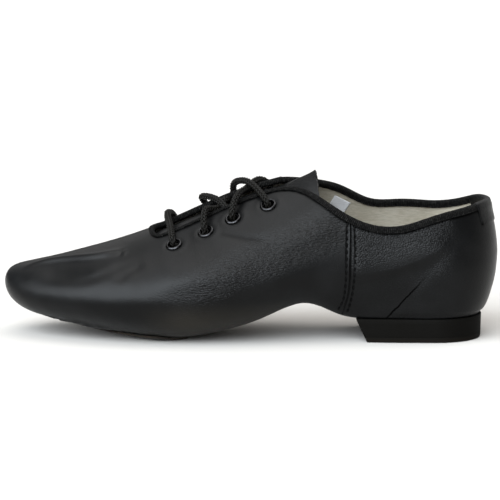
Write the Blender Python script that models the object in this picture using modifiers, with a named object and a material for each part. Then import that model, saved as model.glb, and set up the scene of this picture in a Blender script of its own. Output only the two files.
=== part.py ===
"""A left split-sole jazz shoe in soft black leather: a lasted upper laced over a tongue, with a separate
forefoot sole and heel.

The frame is in metres: +Z is up from the floor, -X points to the toe, -Y is the outer side of the foot.
Every curved piece is read from one last, which is a table of sections and the function that bends them.
"""

import math

import bmesh
import bpy
import numpy as np
from mathutils import Matrix, Vector

MM = 0.001
LATERAL, MEDIAL = -1, 1

# Driving sizes, in millimetres.
GAP = 0.3
WALL = 1.6
SOLE_THICK = 2.0
INSOLE_THICK = 1.5
TONGUE_THICK = 1.3
BINDING_TAPE = 0.7
BINDING_DEEP_COLLAR = 2.6
BINDING_DEEP_THROAT = 1.6
TAB_THICK = 0.8
HEEL_AXIS_X = 95.0
LACE_RADIUS = 1.45

# The last. Each row is one section, from the toe tip to the centre of the back. The sections stand across
# the shoe as far as the heel's axis, and from there they turn about it. Columns, in millimetres:
#   x        where the section stands            turn     its turn about the heel's axis, in degrees
#   y_mid    middle of its width                 half     half of its greatest width
#   bottom   height of the foot bed's middle     roll     how much the inner side of the bed is raised
#   feather  share of half that lies flat        side     height of the greatest width
#   top      height of the top line              y_top    where the top line lies across the shoe
#   lean     how much the top slopes up inwards  roof     2 is a round top, less is a steeper roof
COLUMNS = "x turn y_mid half bottom roll feather side top y_top lean roof".split()
LAST = (
    (-127.5, 0, 6.0, 0.0, 27.0, 0.0, 0.50, 27.0, 27.0, 6.0, 0.0, 2.00),
    (-124.0, 0, 6.0, 12.5, 18.8, 0.0, 0.46, 24.4, 33.8, 6.0, 0.0, 2.00),
    (-113.5, 0, 5.6, 22.8, 12.4, 0.0, 0.46, 22.2, 37.0, 6.0, 0.0, 2.00),
    (-97.0, 0, 4.2, 31.5, 8.9, 0.0, 0.46, 21.4, 40.6, 5.6, 0.6, 2.00),
    (-78.0, 0, 2.2, 37.8, 6.0, 0.0, 0.46, 21.4, 45.5, 5.0, 1.6, 1.98),
    (-57.0, 0, 0.2, 41.4, 2.8, 0.0, 0.46, 22.0, 51.9, 4.2, 4.0, 1.90),
    (-35.0, 0, -1.6, 42.0, 1.9, 0.0, 0.48, 23.5, 60.4, 3.2, 8.4, 1.80),
    (-13.0, 0, -2.8, 40.4, 6.2, 1.0, 0.50, 27.5, 70.0, 2.2, 11.0, 1.75),
    (8.0, 0, -3.0, 37.2, 13.8, 2.4, 0.52, 33.0, 77.4, 1.4, 11.0, 1.75),
    (28.0, 0, -2.2, 34.0, 21.0, 2.6, 0.56, 37.0, 83.0, 0.8, 8.6, 1.80),
    (46.0, 0, -1.2, 32.0, 14.8, 1.2, 0.68, 37.0, 88.0, 0.4, 5.0, 1.86),
    (62.0, 0, -0.4, 31.0, 12.4, 0.0, 0.80, 36.5, 92.0, 0.2, 2.0, 1.92),
    (78.5, 0, 0.0, 30.6, 12.4, 0.0, 0.85, 36.5, 95.0, 0.0, 0.0, 2.00),
    (95.0, 0, 0.0, 30.4, 12.4, 0.0, 0.86, 37.0, 97.0, 0.0, 0.0, 2.00),
    (95.0, 30, 0.0, 30.6, 12.4, 0.0, 0.83, 39.0, 98.0, 0.0, 0.0, 2.00),
    (95.0, 60, 0.0, 31.4, 12.4, 0.0, 0.76, 42.0, 97.0, 0.0, 0.0, 2.00),
    (95.0, 90, 0.0, 32.0, 12.4, 0.0, 0.70, 44.0, 96.0, 0.0, 0.0, 2.00),
)
SEAT_ROW, HEEL_ROW = 11, 13
BACK_ROW = len(LAST) - 1
WELT_CURVE = 1.65

# The throat is a slot with a round front end, and the collar is cut to these heights at the rows of LAST
# from COLLAR_ROW to the back.
THROAT_FRONT_X = -50.8
THROAT_END = 6.5
THROAT_HALF_FRONT, THROAT_HALF_BACK, THROAT_TAPER = 14.6, 6.8, 1.6
THROAT_BACK_X = 22.0
COLLAR_ROW = 8
COLLAR = {
    LATERAL: (79.0, 76.2, 66.6, 59.8, 59.6, 64.7, 67.9, 70.2, 70.6),
    MEDIAL: (81.0, 78.4, 74.4, 66.7, 66.1, 65.3, 66.9, 70.3, 70.6),
}
COLLAR_BLEND = 0.16
CORNER_ROWS = 8.1, 9.6
EDGE_STRIP = 0.09
RIB_BEND = 1.7
ROOF_STEPS = 0.22, 0.46, 0.68, 0.86, 1.0
THROAT_ANGLES = 0, 12, 24, 37, 50, 63, 76, 90

# The lasting margin turns under the foot. It leaves the forefoot and the heel seat open, for the soles.
MARGIN = 0.55
FOREFOOT_OPEN_X = (-90.0, -38.0)
HEEL_OPEN_X = 72.0

# The heel counter stands under the leather and shows as a step behind a slanting line.
COUNTER_STEP = 0.6
COUNTER_SOFT = 2.5
COUNTER_FOOT_X, COUNTER_FOOT_Z = 72.0, 13.5
COUNTER_HEAD_X, COUNTER_HEAD_Z = 97.0, 42.0

# Eyelets, from the front pair to the back pair.
EYELET_X = (-38.3, -22.2, -8.4, 9.5)
EYELET_FROM_EDGE = (11.4, 11.0, 9.6, 8.8)
EYELET_HOLE, EYELET_BARREL, EYELET_BORE, EYELET_FLANGE = 3.0, 2.7, 2.35, 4.4
EYELET_SEAT = 0.5
EYELET_RIM = 0.9

SOLE_X = (-97.0, -27.0)
SOLE_REACH = 1.28
SOLE_NARROW, SOLE_NARROW_X = 0.11, (-44.0, -58.0)
SOLE_EDGE, SOLE_SKIVE = 0.45, 9.0
INSOLE_FRONT_X = -116.0
TONGUE_X = (-57.0, 32.2)
TONGUE_HALF = 21.0
TONGUE_SKEW = 3.0
TONGUE_LIFT_X, TONGUE_LIFT = 13.0, 4.8
TONGUE_DEEP = 2.0

HEEL_BREAST_TOP_X, HEEL_BREAST_BOTTOM_X = 54.2, 59.6
HEEL_REACH = 1.18
HEEL_TAPER = 0.99
HEEL_EDGE = 0.8

TAB_TURN = 48.0
TAB_OUTSIDE, TAB_INSIDE = 10.2, 6.0

BLACK_LEATHER = (0.028, 0.029, 0.031)
BLACK_TAPE = (0.012, 0.012, 0.012)
BLACK_RUBBER = (0.014, 0.013, 0.012)
BROWN_SUEDE = (0.035, 0.026, 0.020)
PALE_LINING = (0.48, 0.44, 0.36)
DARK_METAL = (0.20, 0.20, 0.21)


# The last's own function.


def knot_slopes(values, start=None, end=None):
    """Slopes of the smoothest cubic through equally spaced values, free or held at each end."""
    n = len(values)
    matrix = np.zeros((n, n))
    known = np.zeros(n)
    for i in range(1, n - 1):
        matrix[i, i - 1 : i + 2] = 1, 4, 1
        known[i] = 3 * (values[i + 1] - values[i - 1])
    for i, inner, held in ((0, 1, start), (n - 1, n - 2, end)):
        matrix[i, i] = 1 if held is not None else 2
        matrix[i, inner] = 0 if held is not None else 1
        known[i] = held if held is not None else 3 * abs(i - inner) * (values[1] - values[0])
        if held is None and i:
            known[i] = 3 * (values[-1] - values[-2])
    return np.linalg.solve(matrix, known)


def on_curve(values, slopes, u):
    """The cubic's value at u, where whole numbers are its knots."""
    u = min(u, len(values) - 1)
    i = max(0, min(len(values) - 2, int(math.floor(u))))
    t = u - i
    rise = values[i + 1] - values[i]
    bend = (slopes[i] - rise) * (1 - t) - (slopes[i + 1] - rise) * t
    return values[i] + t * (rise + (1 - t) * bend)


FLAT_AT_TOE = {"x": 0.0, "y_mid": 0.0, "y_top": 0.0, "feather": 0.0}
HEEL_STEP = 30.4 * math.radians(30)
TABLE = {}
for number, column in enumerate(COLUMNS):
    heights = [row[number] for row in LAST]
    if column == "x":
        heights = heights[: HEEL_ROW + 1]
        TABLE[column] = heights, knot_slopes(heights, 0.0, HEEL_STEP)
    elif column == "bottom":
        heights = heights[: SEAT_ROW + 1]
        TABLE[column] = heights, knot_slopes(heights, None, 0.0)
    elif column != "turn":
        TABLE[column] = heights, knot_slopes(heights, FLAT_AT_TOE.get(column), 0.0)
COLLAR_CURVE = {side: (list(z), knot_slopes(z, None, 0.0)) for side, z in COLLAR.items()}


def section(u):
    """The columns of the last at row u, which may lie between rows."""
    row = {name: on_curve(*curve, u) for name, curve in TABLE.items()}
    row["turn"] = math.radians(30 * max(0.0, u - HEEL_ROW))
    return row


def share(value, power):
    return max(0.0, value) ** power


def last_point(u, side, q):
    """A point of the last, in millimetres. q climbs from the bed's middle, 0, by the feather edge, 1, and the
    widest line, 2, to the top line, 3."""
    s = section(u)
    foot = s["bottom"] + side * s["roll"] * s["feather"] * min(q, 1.0)
    if q <= 1:
        out, z = s["half"] * s["feather"] * q, foot
    elif q <= 2:
        angle = (q - 1) * math.pi / 2
        swell = share(math.sin(angle), 2 / WELT_CURVE)
        out = s["half"] * (s["feather"] + (1 - s["feather"]) * swell)
        z = s["side"] - (s["side"] - foot) * share(math.cos(angle), 2 / WELT_CURVE)
    else:
        angle = (q - 2) * math.pi / 2
        offset = side * (s["y_top"] - s["y_mid"])
        inward = share(math.cos(angle), 2 / s["roof"])
        crown = s["top"] + side * s["lean"] * inward
        out = offset + (s["half"] - offset) * inward
        z = s["side"] + (crown - s["side"]) * share(math.sin(angle), 2 / s["roof"])
    x = s["x"] + out * math.sin(s["turn"])
    y = s["y_mid"] + side * out * math.cos(s["turn"])
    return np.array((x, y, z))


def last_tangents(u, side, q):
    """How the point moves with u and with q."""
    step = 0.002
    u0, u1 = max(0.0, u - step), min(BACK_ROW, u + step)
    q0, q1 = max(0.02, q - step), min(3.0, max(0.02, q) + step)
    along = (last_point(u1, side, q) - last_point(u0, side, q)) / (u1 - u0)
    up = (last_point(u, side, q1) - last_point(u, side, q0)) / (q1 - q0)
    return along, up


def last_normal(u, side, q):
    """Straight out of the last."""
    if u > HEEL_ROW and q < 0.1:
        return np.array((0.0, 0.0, -1.0))
    along, up = last_tangents(u, side, q)
    normal = -side * np.cross(along, up)
    return normal / np.linalg.norm(normal)


def counter_swell(point):
    """How far the counter lifts the leather at this point."""
    run, rise = COUNTER_HEAD_X - COUNTER_FOOT_X, COUNTER_HEAD_Z - COUNTER_FOOT_Z
    behind = ((point[0] - COUNTER_FOOT_X) * rise - (point[2] - COUNTER_FOOT_Z) * run) / math.hypot(run, rise)
    below = (COUNTER_HEAD_Z + COUNTER_SOFT - point[2]) / (2 * COUNTER_SOFT)
    above = (point[2] - COUNTER_FOOT_Z) / COUNTER_SOFT
    ramp = max(0.0, min(1.0, behind / COUNTER_SOFT + 0.5)) * max(0.0, min(1.0, below, above))
    return COUNTER_STEP * ramp * ramp * (3 - 2 * ramp)


def skin(u, side, q, lift=0.0):
    """A point of the upper's outer face, or lift millimetres off it."""
    point = last_point(u, side, q)
    lift += counter_swell(point)
    return point + lift * last_normal(u, side, q) if lift else point


def row_at(x):
    """The row number u whose section stands at x."""
    low, high = 0.0, float(HEEL_ROW)
    for _ in range(40):
        middle = (low + high) / 2
        low, high = (middle, high) if section(middle)["x"] < x else (low, middle)
    return (low + high) / 2


# The edges of the upper's openings.


def round_end(distance, radius):
    """Half the width of a slot at this distance behind its round end, as a share of its full half width."""
    inside = max(0.0, min(1.0, distance / radius))
    return math.sqrt(1 - (1 - inside) ** 2)


def throat_half(x):
    """Half the throat's width at x."""
    along = max(0.0, min(1.0, (x - THROAT_FRONT_X) / (THROAT_BACK_X - THROAT_FRONT_X)))
    half = THROAT_HALF_BACK + (THROAT_HALF_FRONT - THROAT_HALF_BACK) * (1 - along) ** THROAT_TAPER
    return half * round_end(x - THROAT_FRONT_X, THROAT_END)


def q_from_top(u, side, distance):
    """q at this distance across from the top line."""
    s = section(u)
    reach = s["half"] - side * (s["y_top"] - s["y_mid"])
    return 2 + math.acos(min(1.0, share(distance / reach, s["roof"] / 2))) * 2 / math.pi


def q_at_height(u, side, z):
    """The lowest q above the widest line at height z, or 3 where the last stays under it."""
    steps = 48
    below = last_point(u, side, 2.0)[2]
    for i in range(1, steps + 1):
        q = 2 + i / steps
        above = last_point(u, side, q)[2]
        if above >= z:
            return q - (above - z) / (above - below) / steps
        below = above
    return 3.0


def edge_q(u, side):
    """q of the upper's edge: the top line over the vamp, then the throat, then the collar."""
    x = section(u)["x"]
    if x <= THROAT_FRONT_X:
        return 3.0
    throat = q_from_top(u, side, throat_half(x))
    if u <= COLLAR_ROW:
        return throat
    collar = q_at_height(u, side, on_curve(*COLLAR_CURVE[side], u - COLLAR_ROW))
    mix = max(0.0, min(1.0, 0.5 + (throat - collar) / (2 * COLLAR_BLEND)))
    return throat + (collar - throat) * mix - COLLAR_BLEND * mix * (1 - mix)


def margin_q(u):
    """q where the lasting margin ends under the foot, 0 where it closes."""
    x = section(u)["x"]
    if u >= HEEL_ROW or x > HEEL_OPEN_X:
        return MARGIN * round_end(x - HEEL_OPEN_X, HEEL_AXIS_X - HEEL_OPEN_X)
    front, back = FOREFOOT_OPEN_X
    if front < x < back:
        return MARGIN * round_end(min(x - front, back - x), (back - front) / 2)
    return 0.0


# Making solids from sheets.


def spread(start, end, count):
    """Equal steps from start to end."""
    return [start + (end - start) * i / count for i in range(count + 1)]


def eased(start, end, count):
    """Steps from start to end that crowd at both ends."""
    return [start + (end - start) * (1 - math.cos(math.pi * i / count)) / 2 for i in range(count + 1)]


def add_sheet(bm, columns, rows, place):
    """Adds a grid and bends it: place(column, row) gives each corner in millimetres."""
    made = bmesh.ops.create_grid(bm, x_segments=len(columns) - 1, y_segments=len(rows) - 1, size=1.0)
    for vert in made["verts"]:
        i = round((vert.co.x + 1) / 2 * (len(columns) - 1))
        j = round((vert.co.y + 1) / 2 * (len(rows) - 1))
        vert.co = Vector(place(columns[i], rows[j])) * MM


def weld(bm, distance=0.02):
    """Joins corners that coincide and drops faces that closed up."""
    bmesh.ops.remove_doubles(bm, verts=bm.verts, dist=distance * MM)
    bmesh.ops.dissolve_degenerate(bm, edges=bm.edges, dist=0.001 * MM)


def make_object(name, mesh, material, collection):
    obj = bpy.data.objects.new(name, mesh)
    collection.objects.link(obj)
    obj.data.materials.append(material)
    obj.data.shade_smooth()
    obj.data.set_sharp_from_angle(angle=math.radians(35))
    return obj


def from_sheets(name, bm, material, collection):
    """An object from a bent grid, with its corners joined and its faces turned out."""
    weld(bm)
    bmesh.ops.recalc_face_normals(bm, faces=bm.faces)
    mesh = bpy.data.meshes.new(name)
    bm.to_mesh(mesh)
    bm.free()
    return make_object(name, mesh, material, collection)


def thicken(obj, thickness, offset):
    """Gives an open sheet its thickness: offset -1 goes inwards and +1 outwards."""
    wall = obj.modifiers.new("thickness", "SOLIDIFY")
    wall.thickness = thickness * MM
    wall.offset = offset
    wall.use_even_offset = True


def face_out(obj, outward):
    """Turns an open sheet so that its normals agree with outward(centre), a direction."""
    total = sum(face.normal.dot(Vector(outward(face.center))) for face in obj.data.polygons)
    if total < 0:
        obj.data.flip_normals()


def realise(obj):
    """Replaces an object's mesh and modifiers by the evaluated mesh."""
    graph = bpy.context.evaluated_depsgraph_get()
    mesh = bpy.data.meshes.new_from_object(obj.evaluated_get(graph))
    obj.modifiers.clear()
    obj.data = mesh


def out_of_shoe(centre):
    """A direction from the middle of the shoe's inside."""
    return centre.x * 0.02, centre.y, centre.z - 0.035


# The pieces.


def upper_rows(low, high):
    """q from the margin to the edge, closer together round the feather edge."""
    bed = spread(min(low, 0.98), 1.0, 2)
    wall = spread(1.0, 2.0, 4)[1:]
    roof = [2 + (high - EDGE_STRIP - 2) * part for part in ROOF_STEPS]
    return bed + wall + roof + [high]


def edge_columns():
    """u of the ribs along the opening, from the throat's round front to the centre of the back."""
    front = row_at(THROAT_FRONT_X)
    length = row_at(THROAT_FRONT_X + THROAT_END) - front
    throat = [front + length * (1 - math.cos(math.radians(angle))) for angle in THROAT_ANGLES]
    corner = spread(CORNER_ROWS[0], CORNER_ROWS[1], 10)
    before, after = spread(throat[-1], corner[0], 6), spread(corner[-1], HEEL_ROW, 8)
    return throat + before[1:] + corner[1:] + after[1:] + spread(HEEL_ROW, BACK_ROW, 8)[1:]


def upper_columns():
    """For each rib of the upper, its u at the foot and at the edge. Ribs crowd only at the throat's front."""
    toe = [0.0, 0.12, 0.3, 0.55, 0.9, 1.3, 1.7]
    opening = edge_columns()
    edge = toe + spread(2.15, opening[0] - 0.2, 6) + opening
    first, last = edge.index(1.7) + 3, edge.index(CORNER_ROWS[0])
    foot = edge[:first] + spread(edge[first], edge[last], last - first) + edge[last + 1 :]
    return list(zip(foot, edge))


def make_upper(material, collection):
    """The leather upper: two sides joined over the vamp, under the arch and down the back."""
    bm = bmesh.new()
    for side in (LATERAL, MEDIAL):

        def place(rib, step):
            foot, edge = rib
            high = edge_q(edge, side)
            q = upper_rows(margin_q(foot), high)[step]
            climb = max(0.0, min(1.0, (q - RIB_BEND) / (high - RIB_BEND)))
            return skin(foot + (edge - foot) * climb * climb * (3 - 2 * climb), side, q)

        add_sheet(bm, upper_columns(), list(range(13)), place)
    upper = from_sheets("upper", bm, material, collection)
    face_out(upper, out_of_shoe)
    thicken(upper, WALL, -1)
    return upper


def eyelet_at(side, number):
    """u, side and q of an eyelet's centre. Numbers count from 1 at the front."""
    x, distance = EYELET_X[number - 1], EYELET_FROM_EDGE[number - 1]
    u = row_at(x)
    return u, side, q_from_top(u, side, throat_half(x) + distance)


def eyelet_places():
    """Each eyelet's name, centre on the leather and direction out of it."""
    for number in range(1, len(EYELET_X) + 1):
        for side, word in ((LATERAL, "outer"), (MEDIAL, "inner")):
            at = eyelet_at(side, number)
            yield f"eyelet_{word}_{number}", skin(*at), last_normal(*at)


def stand_on(point, normal):
    """The matrix that stands +Z along normal at point."""
    turn = Vector(normal).to_track_quat("Z", "Y").to_matrix().to_4x4()
    return Matrix.Translation(Vector(point) * MM) @ turn


def punch_eyelet_holes(upper, cutters):
    """Punches a round hole through the upper for each eyelet's barrel."""
    bm = bmesh.new()
    for _, centre, normal in eyelet_places():
        bmesh.ops.create_cone(
            bm, cap_ends=True, segments=12, radius1=EYELET_HOLE * MM, radius2=EYELET_HOLE * MM,
            depth=4 * WALL * MM, matrix=stand_on(centre - normal * WALL / 2, normal),
        )
    mesh = bpy.data.meshes.new("eyelet_punch")
    bm.to_mesh(mesh)
    bm.free()
    punch = bpy.data.objects.new("eyelet_punch", mesh)
    punch.hide_render = True
    punch.display_type = "WIRE"
    cutters.objects.link(punch)
    cut = upper.modifiers.new("eyelet holes", "BOOLEAN")
    cut.operation = "DIFFERENCE"
    cut.object = punch


def make_eyelets(material, collection):
    """Turned metal eyelets: a barrel through the leather under a rolled rim."""
    seat, rim = EYELET_SEAT, EYELET_RIM
    profile = (
        (EYELET_BORE, seat + rim * 0.4), (EYELET_BORE + 0.9, seat + rim), (EYELET_FLANGE - 0.5, seat + rim * 0.8),
        (EYELET_FLANGE, seat), (EYELET_BARREL, seat), (EYELET_BARREL, -WALL), (EYELET_BORE, -WALL),
    )
    for name, centre, normal in eyelet_places():
        bm = bmesh.new()
        corners = [bm.verts.new((r * MM, 0, z * MM)) for r, z in profile]
        for a, b in zip(corners, corners[1:] + corners[:1]):
            bm.edges.new((a, b))
        mesh = bpy.data.meshes.new(name)
        bm.to_mesh(mesh)
        bm.free()
        eyelet = make_object(name, mesh, material, collection)
        eyelet.matrix_world = stand_on(centre, normal)
        turned = eyelet.modifiers.new("turned", "SCREW")
        turned.steps = turned.render_steps = 12
        turned.use_merge_vertices = True
        turned.merge_threshold = 0.01 * MM


def edge_path():
    """(u, side) along the upper's edge: from the throat's front by the outer side to the back, and round."""
    line = edge_columns()
    outer = [(u, LATERAL) for u in line]
    inner = [(u, MEDIAL) for u in reversed(line)]
    return outer + inner[1:-1]


def edge_frame(path, i):
    """u, side and q of a path point, and how u and q change a millimetre away from the edge."""
    u, side = path[i]
    q = edge_q(u, side)
    before, after = path[i - 1], path[(i + 1) % len(path)]
    ahead = last_point(after[0], after[1], edge_q(*after)) - last_point(before[0], before[1], edge_q(*before))
    normal = last_normal(u, side, min(q, 2.985))
    away = np.cross(ahead / np.linalg.norm(ahead), normal)
    along, up = last_tangents(u, side, min(q, 2.985))
    change, *_ = np.linalg.lstsq(np.column_stack((along, up)), away, rcond=None)
    return u, side, q, change, away, normal


def off_edge(frame, reach, lift):
    """The point reach millimetres into the leather from its edge and lift off its outer face."""
    u, side, q, change, away, normal = frame
    if reach <= 0:
        return skin(u, side, min(q, 2.985), lift) + away * reach
    return skin(u + change[0] * reach, side, min(2.999, q + change[1] * reach), lift)


def binding_depth(u):
    """How far the tape covers the leather: narrow round the throat, wide round the collar."""
    along = max(0.0, min(1.0, (u - COLLAR_ROW) / 2))
    return BINDING_DEEP_THROAT + (BINDING_DEEP_COLLAR - BINDING_DEEP_THROAT) * along


def make_binding(material, collection):
    """A tape folded over the edge of the collar and throat, all the way round."""
    outside, inside = GAP, -WALL - GAP
    fold = (
        (1.0, outside), (1.0, outside + BINDING_TAPE), (0.0, outside + BINDING_TAPE), (-0.2, outside),
        (-0.2, inside), (0.0, inside - BINDING_TAPE), (1.0, inside - BINDING_TAPE), (1.0, inside),
        (0.0, inside), (0.0, outside),
    )
    path = edge_path()
    frames = [edge_frame(path, i) for i in range(len(path))]

    def place(i, j):
        frame = frames[i % len(path)]
        depth, lift = fold[j % len(fold)]
        on_edge = depth == 0.0 and lift in (outside, inside)
        if depth < 0:
            return off_edge(frame, -GAP - BINDING_TAPE, lift)
        return off_edge(frame, -GAP if on_edge else depth * binding_depth(frame[0]), lift)

    bm = bmesh.new()
    add_sheet(bm, list(range(len(path) + 1)), list(range(len(fold) + 1)), place)
    return from_sheets("collar_binding", bm, material, collection)


def make_back_tab(material, collection):
    """A small leather tab folded over the binding at the back. It hugs the upper below the binding."""
    low, top = GAP, BINDING_TAPE + 2 * GAP
    inner, crest = -WALL - top, -GAP - top
    fold = (
        (TAB_OUTSIDE, low), (TAB_OUTSIDE / 2 + BINDING_DEEP_COLLAR / 2, low), (BINDING_DEEP_COLLAR + 1.2, low),
        (BINDING_DEEP_COLLAR + 0.4, top), (0.6, top), (crest + 0.4, top / 2), (crest, -WALL / 2),
        (crest + 0.4, inner + top / 2), (0.6, inner), (TAB_INSIDE, inner),
    )
    path = edge_path()
    first = HEEL_ROW + TAB_TURN / 30
    frames = [edge_frame(path, i) for i in range(len(path)) if path[i][0] > first]
    bm = bmesh.new()
    add_sheet(bm, frames, fold, lambda frame, at: off_edge(frame, *at))
    tab = from_sheets("back_tab", bm, material, collection)
    face_out(tab, out_of_shoe)
    thicken(tab, TAB_THICK, 1)
    return tab


def skive(sheet):
    """Thins a thickened sheet towards its rim, as a sole's edge is pared down."""
    count = {}
    for face in sheet.data.polygons:
        for key in face.edge_keys:
            count[key] = count.get(key, 0) + 1
    rim = [sheet.data.vertices[key[0]].co for key, faces in count.items() if faces == 1]
    group = sheet.vertex_groups.new(name="thickness")
    for vert in sheet.data.vertices:
        inside = min((vert.co - point).length for point in rim) / MM / SOLE_SKIVE
        group.add([vert.index], SOLE_EDGE + (1 - SOLE_EDGE) * min(1.0, inside), "REPLACE")
    sheet.modifiers["thickness"].vertex_group = group.name


def make_sole(material, collection):
    """The forefoot sole: a thin suede pad cemented under the ball and toes, worn flat where it meets the floor."""
    front, back = SOLE_X
    wide, narrow = SOLE_NARROW_X
    middle, length = (front + back) / 2, (back - front) / 2
    columns = eased(front + 0.2, back - 0.2, 16)

    def place(x, t):
        swell = (1 - abs((x - middle) / length) ** 2.6) ** (1 / 2.6)
        pulled_in = SOLE_NARROW * max(0.0, min(1.0, (wide - x) / (wide - narrow)))
        q = SOLE_REACH * swell * abs(t) * (1 - pulled_in)
        return skin(row_at(x), MEDIAL if t > 0 else LATERAL, q, GAP)

    bm = bmesh.new()
    add_sheet(bm, columns, eased(-1.0, 1.0, 10), place)
    sole = from_sheets("forefoot_sole", bm, material, collection)
    face_out(sole, lambda centre: (0, 0, -1))
    thicken(sole, SOLE_THICK, 1)
    skive(sole)
    realise(sole)
    for vert in sole.data.vertices:
        vert.co.z = max(vert.co.z, 0.0)
    return sole


def make_insole(material, collection):
    """The sock that covers the foot bed, from the toes to the back of the heel."""
    start = row_at(INSOLE_FRONT_X)
    columns = spread(start, start + 0.4, 4) + [foot for foot, _ in upper_columns() if foot > start + 0.5]

    def place(u, t):
        swell = round_end(section(u)["x"] - INSOLE_FRONT_X, 14.0) if u < HEEL_ROW else 1.0
        return skin(u, MEDIAL if t > 0 else LATERAL, 0.94 * max(0.05, swell) * abs(t), -WALL - GAP)

    bm = bmesh.new()
    add_sheet(bm, columns, spread(-1.0, 1.0, 4), place)
    insole = from_sheets("insole", bm, material, collection)
    face_out(insole, lambda centre: (0, 0, -1))
    thicken(insole, INSOLE_THICK, -1)
    return insole


def make_tongue(material, collection):
    """One thickness of leather under the facings, cut straight across where it stands out of the collar."""
    front, back = TONGUE_X
    depth = -WALL - TONGUE_DEEP

    def place(x, t):
        skew = TONGUE_SKEW * abs(t) * max(0.0, min(1.0, (x - 10) / (back - 10)))
        u = row_at(x + skew)
        side = MEDIAL if t > 0 else LATERAL
        point = skin(u, side, min(2.99, q_from_top(u, side, TONGUE_HALF * abs(t))), depth)
        point[2] += TONGUE_LIFT * max(0.0, (x - TONGUE_LIFT_X) / (back - TONGUE_LIFT_X)) ** 2 * (1 - abs(t))
        return point

    bm = bmesh.new()
    add_sheet(bm, spread(front, back, 16), spread(-1.0, 1.0, 8), place)
    tongue = from_sheets("tongue", bm, material, collection)
    face_out(tongue, lambda centre: (0, 0, 1))
    thicken(tongue, TONGUE_THICK, -1)
    return tongue


def heel_outline():
    """The heel's top outline, anticlockwise seen from above, starting at the outer end of the breast."""
    sides = [row_at(x) for x in spread(HEEL_BREAST_TOP_X, HEEL_AXIS_X, 5)[:-1]]
    line = sides + spread(HEEL_ROW, BACK_ROW, 9)
    outer = [last_point(u, LATERAL, HEEL_REACH) for u in line]
    inner = [last_point(u, MEDIAL, HEEL_REACH) for u in reversed(line[:-1])]
    return outer + inner


def make_heel(material, collection):
    """A low block heel: straight sides, a round back and a breast that slopes back under the arch."""
    top = LAST[HEEL_ROW][COLUMNS.index("bottom")] - GAP
    bm = bmesh.new()
    ring = [bm.verts.new(Vector((p[0], p[1], top)) * MM) for p in heel_outline()]
    face = bm.faces.new(ring)
    made = bmesh.ops.extrude_face_region(bm, geom=[face])
    lean = (HEEL_BREAST_BOTTOM_X - HEEL_BREAST_TOP_X) * MM
    axis = HEEL_AXIS_X * MM
    foot = [item for item in made["geom"] if isinstance(item, bmesh.types.BMVert)]
    for vert in foot:
        forward = max(0.0, min(1.0, (axis - vert.co.x) / (axis - HEEL_BREAST_TOP_X * MM)))
        vert.co.x = axis + (vert.co.x - axis) * HEEL_TAPER + lean * forward
        vert.co.y *= HEEL_TAPER
        vert.co.z = 0.0
    floor_edges = [edge for edge in bm.edges if all(abs(v.co.z) < 1e-6 for v in edge.verts)]
    bmesh.ops.bevel(bm, geom=floor_edges, offset=HEEL_EDGE * MM, segments=2, profile=0.5, affect="EDGES")
    return from_sheets("heel", bm, material, collection)


def over_eyelet(side, number):
    """Where a lace stands over an eyelet that it enters or leaves."""
    return skin(*eyelet_at(side, number), LACE_CLEAR)


def under_facing(side, number):
    """Where a lace goes out of sight in the throat, in front of the eyelet it comes out of next."""
    x = EYELET_X[number - 1] - LACE_LEAD
    u = row_at(x)
    return skin(u, side, q_from_top(u, side, throat_half(x) - LACE_FROM_EDGE), -LACE_SINK)


def lace_tube(points):
    """A round cord through these points, in millimetres, as a closed mesh."""
    curve = bpy.data.curves.new("cord", "CURVE")
    curve.dimensions = "3D"
    curve.bevel_depth = LACE_RADIUS * MM
    curve.bevel_resolution = 1
    curve.use_fill_caps = True
    spline = curve.splines.new("POLY")
    spline.points.add(len(points) - 1)
    for target, point in zip(spline.points, points):
        target.co = (*(Vector(point) * MM), 1.0)
    cord = bpy.data.objects.new("cord", curve)
    bpy.context.scene.collection.objects.link(cord)
    bpy.context.view_layer.update()
    mesh = bpy.data.meshes.new_from_object(cord.evaluated_get(bpy.context.evaluated_depsgraph_get()))
    bpy.data.objects.remove(cord)
    bm = bmesh.new()
    bm.from_mesh(mesh)
    bmesh.ops.remove_doubles(bm, verts=bm.verts, dist=0.01 * MM)
    bmesh.ops.recalc_face_normals(bm, faces=bm.faces)
    bm.to_mesh(mesh)
    bm.free()
    return mesh


def arch_over(start, end, rise, forward, count=12):
    """A cord's line from start to end that bows up by rise and, mostly near its start, to the toe by forward."""
    points = []
    for t in spread(0.0, 1.0, count):
        bow = 1 - (2 * t - 1) ** 4
        points.append(start + (end - start) * t + bow * np.array((-1.6 * (1 - t) * forward, 0.0, rise)))
    return points


LACE_RUNS = (
    # name, then for each run: where it starts and ends, its rise over a straight line and its lean to the toe
    ("lace_bar", ((over_eyelet, LATERAL, 1, over_eyelet, MEDIAL, 1, 8.6, 4.0),)),
    ("lace_cross_low", ((over_eyelet, LATERAL, 2, under_facing, MEDIAL, 3, 7.0, 0.0),
                        (over_eyelet, MEDIAL, 2, under_facing, LATERAL, 3, 7.2, 6.0))),
    ("lace_cross_high", ((over_eyelet, LATERAL, 3, over_eyelet, MEDIAL, 4, 5.5, 0.0),
                         (over_eyelet, MEDIAL, 3, over_eyelet, LATERAL, 4, 7.5, 0.0))),
)
LACE_CLEAR = EYELET_SEAT + EYELET_RIM + LACE_RADIUS + 0.6
LACE_LEAD, LACE_FROM_EDGE, LACE_SINK = 5.0, 3.4, 1.0


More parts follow.
